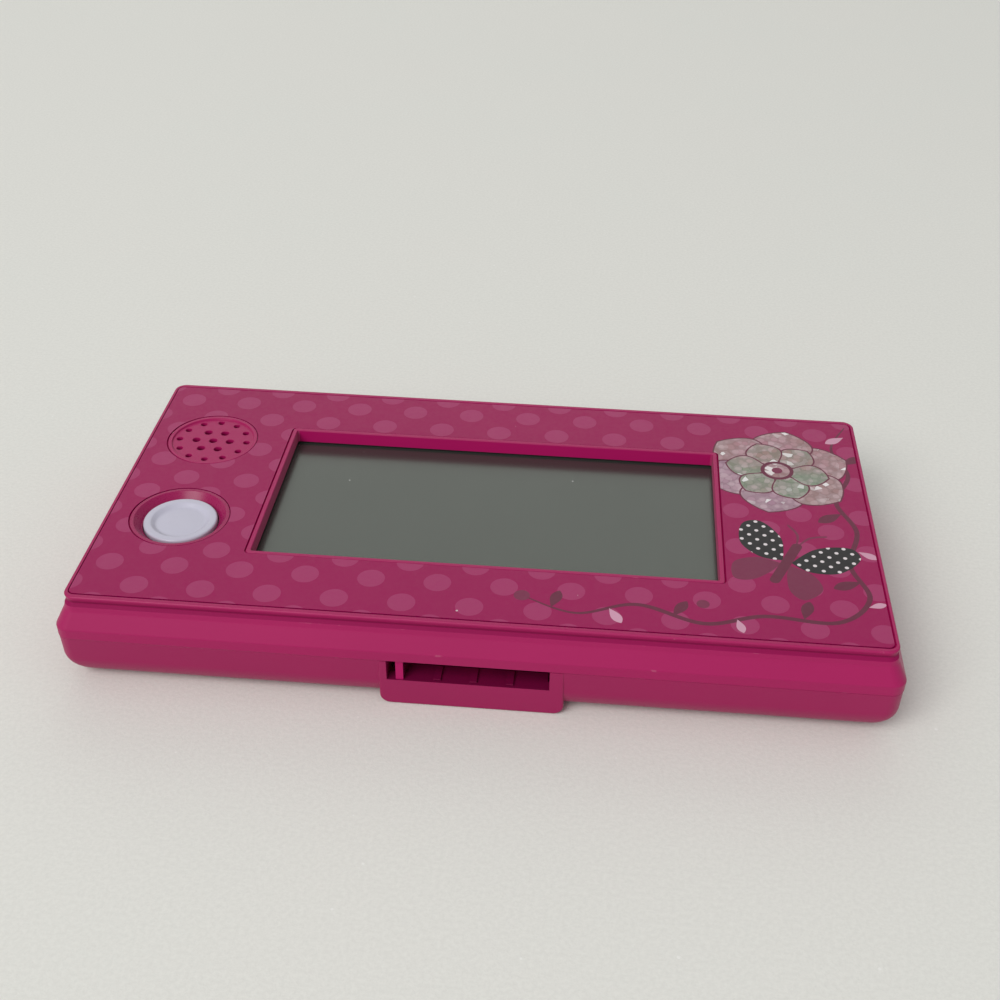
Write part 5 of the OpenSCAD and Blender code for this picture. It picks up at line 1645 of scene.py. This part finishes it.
def build_stage():
    """Table, surroundings, lamps and camera."""
    bpy.context.scene.view_settings.view_transform = "Standard"
    build_floor()
    build_world()
    add_lamp("room_lamp", (-0.9, -1.5, 1.6), 1.4, 1.4, 35.5, (1.0, 0.99, 0.97))
    add_lamp("window_lamp", (-0.15, 1.15, 0.80), 1.4, 0.9, 2.0, (0.97, 0.98, 1.0))
    build_camera()


# ---------- operators ----------

class BuildLidCasing(bpy.types.Operator):
    """Build the lid's moulding"""
    bl_idname = "console.lid_casing"
    bl_label = "Lid Casing"

    def execute(self, context):
        build_lid_casing()
        return {"FINISHED"}


class BuildLabel(bpy.types.Operator):
    """Build the printed label with its motifs"""
    bl_idname = "console.label"
    bl_label = "Label"

    def execute(self, context):
        build_label()
        return {"FINISHED"}


class BuildDisplay(bpy.types.Operator):
    """Build both displays, their holder and the lens"""
    bl_idname = "console.display"
    bl_label = "Display"

    def execute(self, context):
        build_display()
        return {"FINISHED"}


class BuildPowerButton(bpy.types.Operator):
    """Build the round power button"""
    bl_idname = "console.power_button"
    bl_label = "Power Button"

    def execute(self, context):
        build_power_button()
        return {"FINISHED"}


class BuildBaseCasing(bpy.types.Operator):
    """Build the base's moulding"""
    bl_idname = "console.base_casing"
    bl_label = "Base Casing"

    def execute(self, context):
        build_base_casing()
        return {"FINISHED"}


class BuildInnerFaces(bpy.types.Operator):
    """Build the deck and the lid's lining"""
    bl_idname = "console.inner_faces"
    bl_label = "Inner Faces"

    def execute(self, context):
        build_inner_faces()
        return {"FINISHED"}


class BuildKeys(bpy.types.Operator):
    """Build the eight control keys"""
    bl_idname = "console.keys"
    bl_label = "Keys"

    def execute(self, context):
        build_keys()
        return {"FINISHED"}


class BuildLatchAndDoor(bpy.types.Operator):
    """Build the latch slider and the battery door"""
    bl_idname = "console.latch_and_door"
    bl_label = "Latch and Door"

    def execute(self, context):
        build_latch_and_door()
        return {"FINISHED"}


class DressInnerParts(bpy.types.Operator):
    """Finish boards, cells, screws, wires, speaker and pads"""
    bl_idname = "console.inner_parts"
    bl_label = "Inner Parts"

    def execute(self, context):
        dress_inner_parts()
        return {"FINISHED"}


class BuildStage(bpy.types.Operator):
    """Build the table, the lamps and the camera"""
    bl_idname = "console.stage"
    bl_label = "Stage"

    def execute(self, context):
        build_stage()
        return {"FINISHED"}


BUILDERS = (BuildStage, BuildLidCasing, BuildLabel, BuildDisplay, BuildPowerButton, BuildBaseCasing,
            BuildInnerFaces, BuildKeys, BuildLatchAndDoor, DressInnerParts)


class ConsolePanel(bpy.types.Panel):
    """Sizes, finishes and builders of the console"""
    bl_idname = "VIEW3D_PT_console"
    bl_label = "Console"
    bl_space_type = "VIEW_3D"
    bl_region_type = "UI"
    bl_category = "Console"

    def draw(self, context):
        for group in (context.scene.console_sizes, context.scene.console_finish):
            for name in group.__annotations__:
                self.layout.prop(group, name)
        for builder in BUILDERS:
            self.layout.operator(builder.bl_idname)


CLASSES = (ConsoleSizes, ConsoleFinish, *BUILDERS, ConsolePanel)


def register():
    """Adds the classes and their settings to Blender."""
    for cls in CLASSES:
        bpy.utils.register_class(cls)
    bpy.types.Scene.console_sizes = bpy.props.PointerProperty(type=ConsoleSizes)
    bpy.types.Scene.console_finish = bpy.props.PointerProperty(type=ConsoleFinish)


def unregister():
    """Takes them away again."""
    del bpy.types.Scene.console_finish
    del bpy.types.Scene.console_sizes
    for cls in reversed(CLASSES):
        bpy.utils.unregister_class(cls)


def main():
    """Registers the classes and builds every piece."""
    register()
    for builder in BUILDERS:
        group, name = builder.bl_idname.split(".")
        getattr(getattr(bpy.ops, group), name)()


if __name__ == "__main__":
    main()
